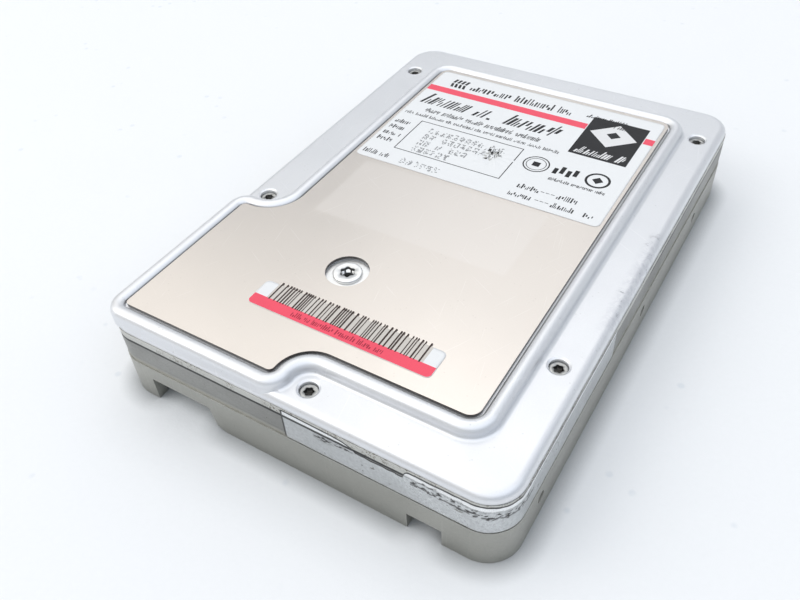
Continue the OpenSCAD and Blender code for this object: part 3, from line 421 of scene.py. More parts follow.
# a material for each slot, for every CAD node that stays and every piece that replaces one
finishes = {"cast_aluminium": castMetal(), "cover_aluminium": coverMetal(), "plate_steel": plateMetal()}
plainFinishes = {
    # slot: name, colour, darker, metallic, roughness, grain and bump in mm, then what differs from the usual
    # the shadeAndGrime colours of the screws and washer paint shade into their sockets
    "plated_screws": (
        "zincScrew", (0.62, 0.62, 0.60), 0.7, 1.0, 0.32, 0.2, 0.008,
        dict(roughSpread=0.1, wear=0.6, wearRadius=0.0002, smudge=0.5, shadeAndGrime=(0.05, 0.048, 0.045)),
    ),
    "bright_washer": (
        "washerSteel", (0.93, 0.93, 0.92), 0.92, 0.9, 0.34, 0.25, 0.004,
        dict(roughSpread=0.05, wear=0.3, scratches=0.2, shadeAndGrime=(0.03, 0.03, 0.03)),
    ),
    "label_film": (
        "labelFilm", (0.76, 0.77, 0.775), 0.96, 0.0, 0.42, 0.35, 0.004,
        dict(roughSpread=0.08, smudge=0.3, specks=0.15, speckColour=(0.6, 0.6, 0.6), coat=0.15),
    ),
    "foil_tape_dull": (
        "dullFoil", (0.47, 0.485, 0.48), 0.8, 0.9, 0.38, 0.5, 0.015,
        dict(roughSpread=0.1, smudge=0.6, specks=0.35, scratches=0.3),
    ),
    "foil_tape_bright": (
        "brightFoil", (0.86, 0.88, 0.90), 0.85, 1.0, 0.26, 0.6, 0.012,
        dict(roughSpread=0.1, smudge=0.4, specks=0.2, speckColour=(0.3, 0.3, 0.3), scratches=0.3),
    ),
    "ground_steel": (
        "groundSteel", (0.72, 0.73, 0.75), 0.85, 1.0, 0.22, 0.2, 0.003,
        dict(roughSpread=0.06, stretch=(1, 1, 12), wear=0.3, scratches=0.2),
    ),
    "lamination_steel": (
        "laminations", (0.42, 0.43, 0.45), 0.65, 1.0, 0.4, 0.35, 0.03, dict(stretch=(0.1, 0.1, 9), smudge=0.3),
    ),
    "copper_wire": (
        "enamelledCopper", (0.62, 0.27, 0.10), 0.55, 0.9, 0.3, 0.22, 0.05, dict(stretch=(0.4, 0.4, 4), coat=0.4),
    ),
    "bearing_balls": ("polishedBalls", (0.85, 0.86, 0.88), 0.95, 1.0, 0.08, 0.4, 0.001, dict(roughSpread=0.03)),
    "turned_aluminium": (
        "turnedAluminium", (0.78, 0.79, 0.80), 0.88, 1.0, 0.28, 0.18, 0.006,
        dict(roughSpread=0.05, wear=0.4, scratches=0.15),
    ),
    "bonded_magnet": (
        "bondedFerrite", (0.09, 0.09, 0.10), 0.6, 0.0, 0.6, 0.25, 0.02, dict(wear=0.3, wearColour=(0.3, 0.3, 0.3)),
    ),
    "disc_surface": (
        "discMirror", (0.62, 0.60, 0.58), 0.97, 1.0, 0.05, 0.5, 0.0005, dict(roughSpread=0.02, smudge=0.1),
    ),
    "black_screws": (
        "blackOxide", (0.05, 0.05, 0.055), 0.6, 0.8, 0.35, 0.2, 0.01,
        dict(wear=0.6, wearColour=(0.4, 0.4, 0.4), wearRadius=0.0002),
    ),
    "milled_aluminium": (
        "milledAluminium", (0.66, 0.67, 0.68), 0.84, 1.0, 0.33, 0.22, 0.012,
        dict(stretch=(1, 9, 1), wear=0.5, scratches=0.2),
    ),
    "black_plastic": (
        "blackMoulding", (0.022, 0.022, 0.024), 0.6, 0.0, 0.45, 0.25, 0.02,
        dict(wear=0.4, wearColour=(0.12, 0.12, 0.12), smudge=0.4),
    ),
    "spring_steel": (
        "springSteel", (0.74, 0.74, 0.72), 0.85, 1.0, 0.2, 0.2, 0.004, dict(stretch=(1, 8, 1), scratches=0.2),
    ),
    "slider_ceramic": (
        "sliderCeramic", (0.05, 0.05, 0.055), 0.7, 0.0, 0.25, 0.12, 0.003, dict(wear=0.5, wearRadius=0.0001),
    ),
    "nickel_steel": (
        "nickelSteel", (0.58, 0.57, 0.54), 0.85, 1.0, 0.3, 0.4, 0.01, dict(wear=0.4, smudge=0.4, scratches=0.2),
    ),
    "nickel_magnet": ("nickelMagnet", (0.66, 0.65, 0.62), 0.9, 1.0, 0.16, 0.4, 0.006, dict(wear=0.4, smudge=0.3)),
    "black_rubber": ("stopRubber", (0.02, 0.02, 0.02), 0.6, 0.0, 0.7, 0.3, 0.02, dict()),
    "amber_film": ("polyimideFilm", (0.50, 0.22, 0.04), 0.7, 0.0, 0.3, 0.5, 0.006, dict(stretch=(1, 1, 6), coat=0.5)),
    "filter_cloth": ("filterCloth", (0.80, 0.80, 0.76), 0.7, 0.0, 0.9, 0.25, 0.09, dict()),
    "insulator_foam": ("insulatorFoam", (0.035, 0.035, 0.04), 0.5, 0.0, 0.85, 0.4, 0.06, dict()),
    "crystal_can": ("crystalCan", (0.74, 0.75, 0.75), 0.9, 1.0, 0.25, 0.3, 0.006, dict(wear=0.3, scratches=0.3)),
    "chip_resin": (
        "chipResin", (0.028, 0.028, 0.03), 0.65, 0.0, 0.55, 0.12, 0.012,
        dict(wear=0.3, wearColour=(0.09, 0.09, 0.09), smudge=0.3),
    ),
    "connector_black": (
        "connectorNylon", (0.024, 0.024, 0.026), 0.65, 0.0, 0.42, 0.2, 0.012,
        dict(wear=0.5, wearColour=(0.13, 0.13, 0.13), smudge=0.4, specks=0.3, speckColour=(0.3, 0.3, 0.3)),
    ),
    "connector_white": (
        "connectorWhite", (0.80, 0.78, 0.71), 0.9, 0.0, 0.4, 0.25, 0.012,
        dict(wear=0.3, wearColour=(0.9, 0.89, 0.85), smudge=0.5, specks=0.3, speckColour=(0.35, 0.33, 0.3)),
    ),
    "gold_pins": (
        "goldFlash", (0.83, 0.62, 0.25), 0.85, 1.0, 0.22, 0.15, 0.003,
        dict(wear=0.5, wearColour=(0.8, 0.76, 0.66), wearRadius=0.0001),
    ),
    "tin_pins": ("tinPlate", (0.76, 0.76, 0.74), 0.85, 1.0, 0.28, 0.2, 0.006, dict(wear=0.4)),
    "jumper_blue": (
        "jumperBlue", (0.02, 0.05, 0.28), 0.7, 0.0, 0.35, 0.15, 0.008,
        dict(wear=0.5, wearColour=(0.2, 0.27, 0.55), wearRadius=0.00015),
    ),
}
for slot, (*values, rest) in plainFinishes.items():
    finishes[slot] = finishOf(*values, **rest)


def boardResin():
    # green solder mask: copper runs show through as paler lines, in two directions, with ground fill between
    material, tree, shader, place = startMaterial("greenBoard")
    split = addNode(tree, "SeparateXYZ", i0=place)
    cell = addNode(tree, "TexVoronoi", {"distance": "MANHATTAN"}, Vector=place, Scale=95.0)
    way = addNode(tree, "SeparateXYZ", i0=cell.outputs["Color"])
    alongX = mathNode(tree, "GREATER_THAN", way.outputs["X"], 0.5)
    across = addNode(
        tree, "Mix", {"data_type": "FLOAT"}, i0=alongX, i2=split.outputs["X"], i3=split.outputs["Y"],
    ).outputs[0]
    wave = mathNode(tree, "PINGPONG", across, 0.00032)
    run = stepMask(tree, wave, 0.00013, 0.00017)
    used = stepMask(tree, way.outputs["Y"], 0.35, 0.36)
    copper = times(tree, run, used)
    speck = useGroup(tree, stainGroup, Place=place, Speck=1.9)
    tone = mixColour(tree, copper, (0.012, 0.085, 0.045), (0.03, 0.19, 0.085))
    tone = mixColour(tree, speck.outputs["Specks"], tone, (0.55, 0.56, 0.5))
    tree.links.new(tone, shader.inputs["Base Color"])
    shader.inputs["Coat Weight"].default_value = 0.5
    rough = mathNode(tree, "MULTIPLY_ADD", speck.outputs["Smudges"], 0.15, 0.25)
    tree.links.new(rough, shader.inputs["Roughness"])
    relief = addNode(tree, "Bump", Strength=0.5, Distance=0.00004, Height=copper)
    tree.links.new(relief.outputs[0], shader.inputs["Normal"])
    return material


finishes["green_board"] = boardResin()


def inkOf(name, colour):
    return finishOf(name, colour, 0.75, 0.0, 0.45, 0.18, 0.001, roughSpread=0.08, smudge=0.35, specular=0.22)


inks = {
    "black": inkOf("blackInk", (0.018, 0.018, 0.02)),
    "red": inkOf("redInk", (0.93, 0.10, 0.155)),
    "grey": inkOf("greyInk", (0.23, 0.235, 0.24)),
    "white": inkOf("paleInk", (0.80, 0.80, 0.80)),
    "maroon": inkOf("maroonInk", (0.42, 0.03, 0.06)),
    "clear": inkOf("clearFilm", (0.66, 0.62, 0.57)),
    "brown": inkOf("brownInk", (0.055, 0.035, 0.03)),
}

for entry in frame["record"]["subparts"]:
    part = nodes[entry["node"]]
    part.data.materials.clear()
    part.data.materials.append(finishes[entry["material_slot"]])
print("finishes made:", len(finishes) + len(inks))

# ---- mesh helpers ----


def meshObject(name, mesh, body, slot, materials=None, smooth=True, replaces=()):
    mesh.name = name
    piece = bpy.data.objects.new(name, mesh)
    show(piece)
    materials = materials or [finishes[slot]]
    if len(materials) == 1:
        mesh.materials.clear()
    for material in materials:
        mesh.materials.append(material)
    if smooth:
        mesh.polygons.foreach_set("use_smooth", [True] * len(mesh.polygons))
    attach(piece, body)
    if replaces:
        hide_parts(*replaces)
    return piece


def toMesh(build, recalculate=True):
    build.normal_update()
    if recalculate:
        bmesh.ops.recalc_face_normals(build, faces=build.faces[:])
    mesh = bpy.data.meshes.new("piece")
    build.to_mesh(mesh)
    build.free()
    return mesh


def ringOf(build, points):
    return [build.verts.new(p) for p in points]


def bridge(build, lower, upper):
    for k in range(len(lower)):
        m = (k + 1) % len(lower)
        build.faces.new((lower[k], lower[m], upper[m], upper[k]))


def screwMesh(top, segments=48):
    # a screw seen from above: domed rim, six-lobed socket, and a shank stub; the origin is under its head
    build = bmesh.new()
    angles = [2 * math.pi * k / segments for k in range(segments)]

    def circle(radius, z):
        return [(radius * math.cos(a), radius * math.sin(a), z) for a in angles]

    def lobes(radius, z):
        reach = [radius * (1 + 0.11 * math.cos(6 * a)) for a in angles]
        return [(r * math.cos(a), r * math.sin(a), z) for r, a in zip(reach, angles)]

    r, h, s = top["r"], top["h"], top["socketR"]
    shadeAndGrime = build.verts.layers.float.new("shadeAndGrime")
    profile = [
        ringOf(build, lobes(s * 0.55, h - top["socketDepth"] - 0.0001)),
        ringOf(build, lobes(s * 0.88, h - top["socketDepth"])),
        ringOf(build, lobes(s * 0.93, h - 0.00012)),
        ringOf(build, lobes(s, h)),
        ringOf(build, circle((s * 1.3 + r) / 2, h)),
        ringOf(build, circle(r - top["edge"], h - 0.00003)),
        ringOf(build, circle(r - top["edge"] * 0.3, h - top["edge"] * 0.45)),
        ringOf(build, circle(r, h - top["edge"])),
        ringOf(build, circle(r, 0)),
        ringOf(build, circle(top["shankR"], 0)),
        ringOf(build, circle(top["shankR"], -top["shankL"])),
    ]
    for lower, upper in zip(profile[:-1], profile[1:]):
        bridge(build, lower, upper)
    # painted shade in the socket: the shadeAndGrime attribute is full at its floor and fades towards its rim
    for ring, shadeAndDirt in zip(profile, (1.0, 1.0, 0.9, 0.3)):
        for v in ring:
            v[shadeAndGrime] = shadeAndDirt
    build.faces.new(profile[0])
    build.faces.new(profile[-1])
    return toMesh(build)


# ---- Geometry Nodes helpers ----


def geometryTree(name, inputs):
    tree = bpy.data.node_groups.new(name, "GeometryNodeTree")
    tree.interface.new_socket("Geometry", in_out="INPUT", socket_type="NodeSocketGeometry")
    kinds = {
        "f": "NodeSocketFloat", "i": "NodeSocketInt", "m": "NodeSocketMaterial", "o": "NodeSocketObject",
        "v": "NodeSocketVector",
    }
    for label, kind in inputs:
        tree.interface.new_socket(label, in_out="INPUT", socket_type=kinds[kind])
    tree.interface.new_socket("Geometry", in_out="OUTPUT", socket_type="NodeSocketGeometry")
    return tree, tree.nodes.new("NodeGroupInput"), tree.nodes.new("NodeGroupOutput")


def grown(name, tree, points, values):
    # runs the tree on a cloud of points and gives the result back as a plain mesh
    cloud = bpy.data.meshes.new(name + "Points")
    cloud.from_pydata(points, [], [])
    carrier = bpy.data.objects.new(name + "Carrier", cloud)
    show(carrier)
    modifier = carrier.modifiers.new("grow", "NODES")
    modifier.node_group = tree
    sockets = {s.name: s.identifier for s in tree.interface.items_tree if s.in_out == "INPUT"}
    for label, value in values.items():
        modifier[sockets[label]] = value
    result = bpy.data.meshes.new_from_object(carrier.evaluated_get(bpy.context.evaluated_depsgraph_get()))
    bpy.data.objects.remove(carrier)
    return result


def finishTree(tree, start, end, geometry):
    real = newNode(tree, "GeometryNodeRealizeInstances", Geometry=geometry)
    painted = newNode(tree, "GeometryNodeSetMaterial", Geometry=real.outputs[0], Material=start.outputs["Material"])
    tree.links.new(painted.outputs[0], end.inputs[0])


def makeFastenerTree():
    # the same fastener at every point, each turned by its own random angle
    tree, start, end = geometryTree(
        "fastenersOnPoints", [("Fastener", "o"), ("Turn", "f"), ("Seed", "i"), ("Material", "m")],
    )
    shape = newNode(tree, "GeometryNodeObjectInfo", Object=start.outputs["Fastener"])
    angle = newNode(
        tree, "FunctionNodeRandomValue", {"data_type": "FLOAT"}, i2=0.0, i3=start.outputs["Turn"],
        Seed=start.outputs["Seed"],
    )
    spin = newNode(tree, "ShaderNodeCombineXYZ", Z=angle.outputs[1])
    copies = newNode(
        tree, "GeometryNodeInstanceOnPoints", Points=start.outputs[0], Instance=shape.outputs["Geometry"],
        Rotation=spin.outputs[0],
    )
    finishTree(tree, start, end, copies.outputs[0])
    return tree


fastenerTree = makeFastenerTree()


def fasteners(name, mesh, points, material, seed):
    source = bpy.data.objects.new(name + "Source", mesh)
    show(source)
    result = grown(
        name, fastenerTree, points, {"Fastener": source, "Turn": math.pi, "Seed": seed, "Material": material},
    )
    bpy.data.objects.remove(source)
    return result


def clustersOf(node, gap=0.004):
    # the middle and box of each separate solid in a CAD node, found by its vertices' distance in plan
    groups = []
    for v in nodes[node].data.vertices:
        for g in groups:
            if (g["seed"] - v.co.xy).length < gap:
                g["low"] = Vector(map(min, g["low"], v.co))
                g["high"] = Vector(map(max, g["high"], v.co))
                break
        else:
            groups.append({"seed": v.co.xy.copy(), "low": v.co.copy(), "high": v.co.copy()})
    return [((g["low"] + g["high"]) / 2, g["low"], g["high"]) for g in groups]


# ---- cover and board screws ----

coverScrew = {
    "r": 2.06 * mm, "h": 1.35 * mm, "edge": 0.25 * mm, "socketR": 1.1 * mm, "socketDepth": 0.9 * mm,
    "shankR": 1.0 * mm, "shankL": 7.4 * mm,
}
boardScrew = {
    "r": 2.25 * mm, "h": 1.3 * mm, "edge": 0.45 * mm, "socketR": 1.05 * mm, "socketDepth": 0.8 * mm,
    "shankR": 0.95 * mm, "shankL": 3.5 * mm,
}
pivotScrew = {
    "r": 3.45 * mm, "h": 0.8 * mm, "edge": 0.30 * mm, "socketR": 1.72 * mm, "socketDepth": 1.5 * mm,
    "shankR": 1.45 * mm, "shankL": 4.7 * mm,
}


def addCoverScrews():
    places = [(c.x, c.y, h.z - 1.3 * mm) for c, low, h in clustersOf("cover_screws")]
    mesh = fasteners("coverScrews", screwMesh(coverScrew), places, finishes["plated_screws"], 4)
    meshObject("coverScrews", mesh, "case", "plated_screws", replaces=["cover_screws"])


def addBoardScrews():
    build = screwMesh(boardScrew)
    build.transform(Matrix.Rotation(math.pi, 4, "X"))
    places = [(c.x, c.y, low.z + 1.3 * mm) for c, low, h in clustersOf("board_screws")]
    mesh = fasteners("boardScrews", build, places, finishes["plated_screws"], 9)
    meshObject("boardScrews", mesh, "case", "plated_screws", replaces=["board_screws"])


def addPivotScrew():
    low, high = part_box("pivot_top_screw")
    mesh = screwMesh(pivotScrew, 72)
    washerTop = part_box("pivot_washer")[1].z
    mesh.transform(Matrix.Translation(((low.x + high.x) / 2, (low.y + high.y) / 2, washerTop)))
    meshObject("pivotScrew", mesh, "case", "bright_washer", replaces=["pivot_top_screw"])


addCoverScrews()
addBoardScrews()
addPivotScrew()
print("screws made")

# ---- printed labels ----

labelLow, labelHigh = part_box("main_label")
labelSheet = {
    "cell": 0.42 * mm, "corner": 1.6 * mm, "thick": 0.1 * mm, "wave": 0.020 * mm,
    "dent": Vector((0, 21 * mm)), "dentR": 4.3 * mm, "dentDepth": 0.30 * mm,
    "pucker": 0.085 * mm, "puckerR": 3.4 * mm, "puckerW": 2.6 * mm,
    "bulge": (2.5 * mm, 19.7 * mm, 1.3 * mm, 0.20 * mm),
}


def labelHeight(x, y):
    # the sheet lies nearly flat, and sinks and puckers over the spindle's hole
    flat = labelHigh.z + labelSheet["wave"] * (wobble(
        x * 90, y * 90, 3.1,
    ) + 0.5 * wobble(x * 260, y * 260, 7.7) + 0.9)
    away = Vector((x, y)) - labelSheet["dent"]
    r = away.length
    sink = labelSheet["dentDepth"] * max(0.0, 1 - (r / labelSheet["dentR"]) ** 2) ** 1.5
    angle = math.atan2(away.y, away.x)
    folds = math.cos(11 * angle + 3 * math.sin(2 * angle))
    pucker = labelSheet["pucker"] * folds * math.exp(-(((r - labelSheet["puckerR"]) / labelSheet["puckerW"]) ** 2))
    bx, by, bulgeR, bulgeH = labelSheet["bulge"]
    bulge = bulgeH * math.exp(-(((x - bx) ** 2 + (y - by) ** 2) / bulgeR ** 2))
    return flat - sink + pucker + bulge


def sheetMesh(low, high, settings, height):
    build = bmesh.new()
    columns = int((high.x - low.x) / settings["cell"])
    rows = int((high.y - low.y) / settings["cell"])
    corner = settings["corner"]
    grid = []
    for j in range(rows + 1):
        line = []
        for i in range(columns + 1):
            x = low.x + (high.x - low.x) * i / columns
            y = low.y + (high.y - low.y) * j / rows
            cx = min(max(x, low.x + corner), high.x - corner)
            cy = min(max(y, low.y + corner), high.y - corner)
            dx, dy = x - cx, y - cy
            if dx and dy:
                pull = max(abs(dx), abs(dy)) / math.hypot(dx, dy)
                x, y = cx + dx * pull, cy + dy * pull
            line.append(build.verts.new((x, y, height(x, y))))
        grid.append(line)
    for j in range(rows):
        for i in range(columns):
            build.faces.new((grid[j][i], grid[j][i + 1], grid[j + 1][i + 1], grid[j + 1][i]))
    under = {}
    for v in list(build.verts):
        under[v] = build.verts.new(v.co - Vector((0, 0, settings["thick"])))
    for face in list(build.faces):
        build.faces.new([under[v] for v in reversed(face.verts)])
    edge = [grid[0][i] for i in range(columns + 1)] + [grid[j][columns] for j in range(1, rows + 1)]
    edge += [grid[rows][i] for i in range(columns - 1, -1, -1)] + [grid[j][0] for j in range(rows - 1, 0, -1)]
    for k, v in enumerate(edge):
        w = edge[(k + 1) % len(edge)]
        build.faces.new((w, v, under[v], under[w]))
    return toMesh(build)


inkLift = 0.012 * mm


class Print:
    # collects inked patches that follow a label's surface; all sizes in millimetres
    def __init__(self, height):
        self.build = bmesh.new()
        self.height = height
        self.steps = 0

    def patch(self, corners, ink, cell=1.2):
        a, b, c, d = [Vector(p) for p in corners]
        across = max(1, math.ceil(max((b - a).length, (c - d).length) / cell))
        along = max(1, math.ceil(max((d - a).length, (c - b).length) / cell))
        grid = []
        for j in range(along + 1):
            left, right = a.lerp(d, j / along), b.lerp(c, j / along)
            line = []
            for i in range(across + 1):
                p = left.lerp(right, i / across) * mm
                line.append(self.build.verts.new((p.x, p.y, self.height(p.x, p.y) + self.steps * inkLift + inkLift)))
            grid.append(line)
        for j in range(along):
            for i in range(across):
                face = self.build.faces.new((grid[j][i], grid[j][i + 1], grid[j + 1][i + 1], grid[j + 1][i]))
                face.material_index = ink

    def bar(self, x0, y0, x1, y1, ink, slant=0.0):
        lean = slant * (y1 - y0)
        self.patch([(x0, y0), (x1, y0), (x1 + lean, y1), (x0 + lean, y1)], ink)

    def ring(self, x, y, outer, inner, ink, count=28):
        for k in range(count):
            a, b = 2 * math.pi * k / count, 2 * math.pi * (k + 1) / count
            self.patch(
                [(
                    x + inner * math.cos(a), y + inner * math.sin(a),
                ), (x + outer * math.cos(a), y + outer * math.sin(a)),
                 (
                     x + outer * math.cos(b), y + outer * math.sin(b),
                 ), (x + inner * math.cos(b), y + inner * math.sin(b))], ink)

    def frame(self, x0, y0, x1, y1, line, ink):
        self.bar(x0, y0, x1, y0 + line, ink)
        self.bar(x0, y1 - line, x1, y1, ink)
        self.bar(x0, y0 + line, x0 + line, y1 - line, ink)
        self.bar(x1 - line, y0 + line, x1, y1 - line, ink)

    def strokes(self, x0, x1, y, height, weight, ink, seed, slant=0.0, words=(5, 9)):
        # a line of plain upright stems in word-like runs: it stands for print and spells nothing
        pick = random.Random(seed)
        x = x0
        left = 2 * pick.randint(*words)
        while x + weight < x1:
            low, tall = pick.choice(((0.0, 0.74), (0.0, 0.74), (0.0, 1.0), (0.30, 0.74), (0.0, 0.42)))
            wide = weight * pick.choice((0.7, 1.0, 1.35))
            shift = slant * low * height
            self.bar(x + shift, y + low * height, x + shift + wide, y + tall * height, ink, slant)
            x += wide + weight * pick.choice((0.55, 0.8, 1.15))
            left -= 1
            if left == 0:
                x += height * 0.4
                left = 2 * pick.randint(*words)

    def columns(self, x0, x1, bottom, top, ink, cell=0.35):
        # a patch whose lower and upper edges are curves
        count = max(1, round((x1 - x0) / cell))
        for k in range(count):
            a, b = x0 + (x1 - x0) * k / count, x0 + (x1 - x0) * (k + 1) / count
            self.patch([(a, bottom(a)), (b, bottom(b)), (b, top(b)), (a, top(a))], ink)

    def dots(self, x0, x1, y, height, ink, seed, gaps=()):
        # dot-matrix texture: cells of seven rows with every dot placed at random
        pick = random.Random(seed)
        pitch = height / 7
        x, cell = x0, 0
        while x < x1:
            if cell not in gaps:
                for i in range(4):
                    for j in range(7):
                        if pick.random() < 0.46:
                            self.bar(
                                x + i * pitch, y + j * pitch, x + (i + 0.86) * pitch, y + (j + 0.86) * pitch, ink,
                            )
            x += pitch * 5.4
            cell += 1

    def blot(self, x, y, r, ink, seed):
        pick = random.Random(seed)
        count = 9
        rim = [r * pick.uniform(0.55, 1.2) for k in range(count)]
        for k in range(count):
            a, b = 2 * math.pi * k / count, 2 * math.pi * (k + 1) / count
            q, s = rim[k], rim[(k + 1) % count]
            self.patch([(x, y), (x + q * math.cos(a), y + q * math.sin(a)),
                        (x + (q + s) / 2 * math.cos((a + b) / 2), y + (q + s) / 2 * math.sin((a + b) / 2)),
                        (x + s * math.cos(b), y + s * math.sin(b))], ink, cell=0.5)

    def mesh(self):
        bmesh.ops.remove_doubles(self.build, verts=self.build.verts[:], dist=1e-7)
        return toMesh(self.build, recalculate=False)


black, red, grey, white, maroon, clear, brown = range(len(inks))


def printMainLabel():
    page = Print(labelHeight)
    left, right = labelLow.x / mm + 0.05, labelHigh.x / mm - 0.05
    page.bar(left, 44.4, 17.0, 47.3, red)
    page.bar(33.4, 44.4, right, 47.3, red)
    # head line, with a plain mark of leaning bars before it
    for k in range(4):
        page.bar(-27.6 + k * 1.3, 48.6, -26.8 + k * 1.3, 50.7, black, -0.2)
        page.bar(-28.0 + k * 1.3, 51.1, -27.2 + k * 1.3, 53.2, black, 0.2)
    page.strokes(-21.4, 11.3, 49.1, 3.5, 0.50, black, 11, words=(7, 7))
    # large slanted line in two words
    page.strokes(-31.4, -10.0, 36.7, 6.0, 0.62, black, 5, slant=0.32, words=(7, 7))
    page.bar(-9.6, 36.5, -8.6, 37.4, black)
    page.strokes(-4.6, 10.6, 36.7, 6.0, 0.72, black, 8, slant=0.32, words=(7, 7))
    page.strokes(-27.6, 9.0, 32.5, 2.3, 0.26, black, 21, slant=0.24, words=(4, 9))
    page.strokes(-32.2, 15.6, 29.6, 1.5, 0.20, black, 22, words=(3, 8))
    # data box
    page.frame(-25.3, 12.2, 6.6, 27.7, 0.26, black)
    for k, (end, gaps) in enumerate(((1.6, (9,)), (1.6, (2,)), (-4.2, (2, 4, 8)), (-9.8, ()))):
        page.dots(-20.7, end, 22.9 - 3.25 * k, 2.5, grey, 30 + k, gaps)
        page.strokes(-32.2, -26.6, 23.9 - 3.25 * k, 2.0, 0.30, black, 40 + k, words=(4, 4))
    page.strokes(-32.2, -24.2, 7.1, 2.0, 0.32, black, 50, words=(4, 4))
    page.dots(-20.4, -8.4, 6.7, 2.6, grey, 51)
    # three plain marks: a square in rings, stepped blocks, a diamond in a ring
    page.ring(12.3, 22.7, 3.6, 3.25, black)
    page.ring(12.3, 22.7, 2.75, 2.55, black, 20)
    page.bar(11.3, 21.7, 13.3, 23.7, black)
    for k, (x, y, h) in enumerate(((17.3, 20.9, 2.6), (19.0, 21.6, 3.2), (20.9, 20.9, 2.9), (22.6, 21.9, 2.9))):
        page.bar(x, y, x + 1.15, y + h, black)
    page.ring(29.1, 23.0, 3.3, 2.65, black)
    page.patch([(27.6, 23.0), (29.1, 21.5), (30.6, 23.0), (29.1, 24.5)], black)
    page.strokes(17.6, 32.8, 17.8, 1.35, 0.20, black, 61, words=(7, 8))
    for y, start in ((11.1, 12.0), (7.3, 11.2)):
        page.strokes(start, 17.8, y, 2.1, 0.30, black, 62 + round(y), words=(9, 9))
        for k in range(3):
            page.bar(18.3 + 1.35 * k, y + 0.95, 19.3 + 1.35 * k, y + 1.15, black)
        page.strokes(22.7, 28.6, y, 2.1, 0.30, black, 64 + round(y), words=(9, 9))
    page.strokes(31.2, 34.2, 7.3, 1.8, 0.40, black, 66, words=(9, 9))
    # dark panel with a plain pale diamond, and lines of print at its foot and head
    page.bar(17.2, 31.9, 33.2, 51.6, black)
    page.steps = 1
    page.patch([(18.7, 44.3), (25.3, 38.4), (31.9, 44.3), (25.3, 50.2)], white)
    page.strokes(18.3, 31.8, 32.8, 3.4, 0.42, white, 71, slant=0.32, words=(7, 7))
    page.steps = 2
    page.patch([(23.3, 44.6), (25.3, 42.8), (27.3, 44.6), (25.3, 46.4)], black)
    page.strokes(15.0, 28.4, 50.6, 1.7, 0.30, black, 72, slant=0.25, words=(5, 6))
    page.strokes(19.2, 30.0, 48.2, 1.6, 0.28, black, 73, slant=0.25, words=(3, 6))
    page.steps = 1
    # black blots where the sheet is punctured, and small grey and black blots round the dent
    for k, (x, y, r) in enumerate((
        (-1.5, 23.1, 0.62), (0.8, 23.0, 0.70), (-0.4, 22.4, 0.5), (-0.9, 19.3, 0.55), (1.9, 21.8, 0.32),
        (-2.4, 21.9, 0.3),
    )):
        page.blot(x, y, r, black, 80 + k)
    for k in range(40):
        pick = random.Random(120 + k)
        a, d = pick.uniform(0.2, math.pi - 0.2), pick.uniform(0.6, 3.8)
        page.blot(d * math.cos(a), 21 + d * math.sin(a), pick.uniform(0.08, 0.24), grey if k % 3 else black, 140 + k)
    return page.mesh()


def addMainLabel():
    meshObject(
        "mainLabelSheet", sheetMesh(labelLow, labelHigh, labelSheet, labelHeight), "case", "label_film",
        replaces=["main_label"],
    )
    meshObject("mainLabelPrint", printMainLabel(), "case", "label_film", list(inks.values()), smooth=False)


codeLow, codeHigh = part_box("barcode_label")
codeSheet = {
    "cell": 0.6 * mm, "corner": 1.2 * mm, "thick": 0.1 * mm, "left": -18.2, "right": 20.4, "foot": -52.1,
    "top": -46.35,
}


def codeHeight(x, y):
    return codeHigh.z + 0.012 * mm * (wobble(x * 120, y * 120, 1.7) + 0.9)


def makeBarsTree():
    # upright bars along a line of points, each with its own random width
    tree, start, end = geometryTree(
        "codeBars", [("Bar Height", "f"), ("Thin", "f"), ("Thick", "f"), ("Seed", "i"), ("Material", "m")],
    )
    sheet = newNode(tree, "GeometryNodeMeshGrid", i0=1.0, i1=1.0, i2=2, i3=5)
    width = newNode(
        tree, "FunctionNodeRandomValue", {"data_type": "FLOAT"}, i2=start.outputs["Thin"], i3=start.outputs["Thick"],
        Seed=start.outputs["Seed"],
    )
    size = newNode(tree, "ShaderNodeCombineXYZ", X=width.outputs[1], Y=start.outputs["Bar Height"], Z=1.0)
    copies = newNode(
        tree, "GeometryNodeInstanceOnPoints", Points=start.outputs[0], Instance=sheet.outputs[0],
        Scale=size.outputs[0],
    )
    finishTree(tree, start, end, copies.outputs[0])
    return tree


def addBarcodeLabel():
    meshObject(
        "barcodeSheet", sheetMesh(codeLow, codeHigh, codeSheet, codeHeight), "case", "label_film",
        replaces=["barcode_label"],
    )
    page = Print(codeHeight)
    low, high = codeLow / mm, codeHigh / mm
    corner = codeSheet["corner"] / mm

    def foot(x):
        # the label's lower edge, with its rounded corners
        near = min(x - low.x, high.x - x) - 0.04
        return low.y + 0.06 + (corner - math.sqrt(max(0.0, corner**2 - (corner - min(near, corner)) ** 2)))

    page.columns(low.x + 0.1, high.x - 0.1, foot, lambda x: low.y + 3.1, red)
    page.bar(codeSheet["left"] - 0.7, low.y + 3.1, codeSheet["right"] + 0.7, high.y - 0.02, clear)
    page.steps = 1
    page.strokes(-10.8, 12.8, low.y + 0.85, 1.5, 0.24, maroon, 90, words=(2, 6))
    meshObject("barcodePrint", page.mesh(), "case", "label_film", list(inks.values()), smooth=False)
    pick = random.Random(17)
    points, x = [], codeSheet["left"]
    middle = (codeSheet["foot"] + codeSheet["top"]) / 2
    while x < codeSheet["right"]:
        points.append((x * mm, middle * mm, codeHeight(x * mm, middle * mm) + 2 * inkLift))
        x += pick.choice((0.55, 0.6, 0.75, 1.0, 1.3))
    tall = (codeSheet["top"] - codeSheet["foot"]) * mm
    settings = {"Bar Height": tall, "Thin": 0.2 * mm, "Thick": 0.42 * mm, "Seed": 3, "Material": inks["brown"]}
    bars = grown("barcodeBars", makeBarsTree(), points, settings)
    meshObject("barcodeBars", bars, "case", "label_film", [inks["brown"]], smooth=False)


addMainLabel()
addBarcodeLabel()
print("labels printed")

# ---- sealing tape ----

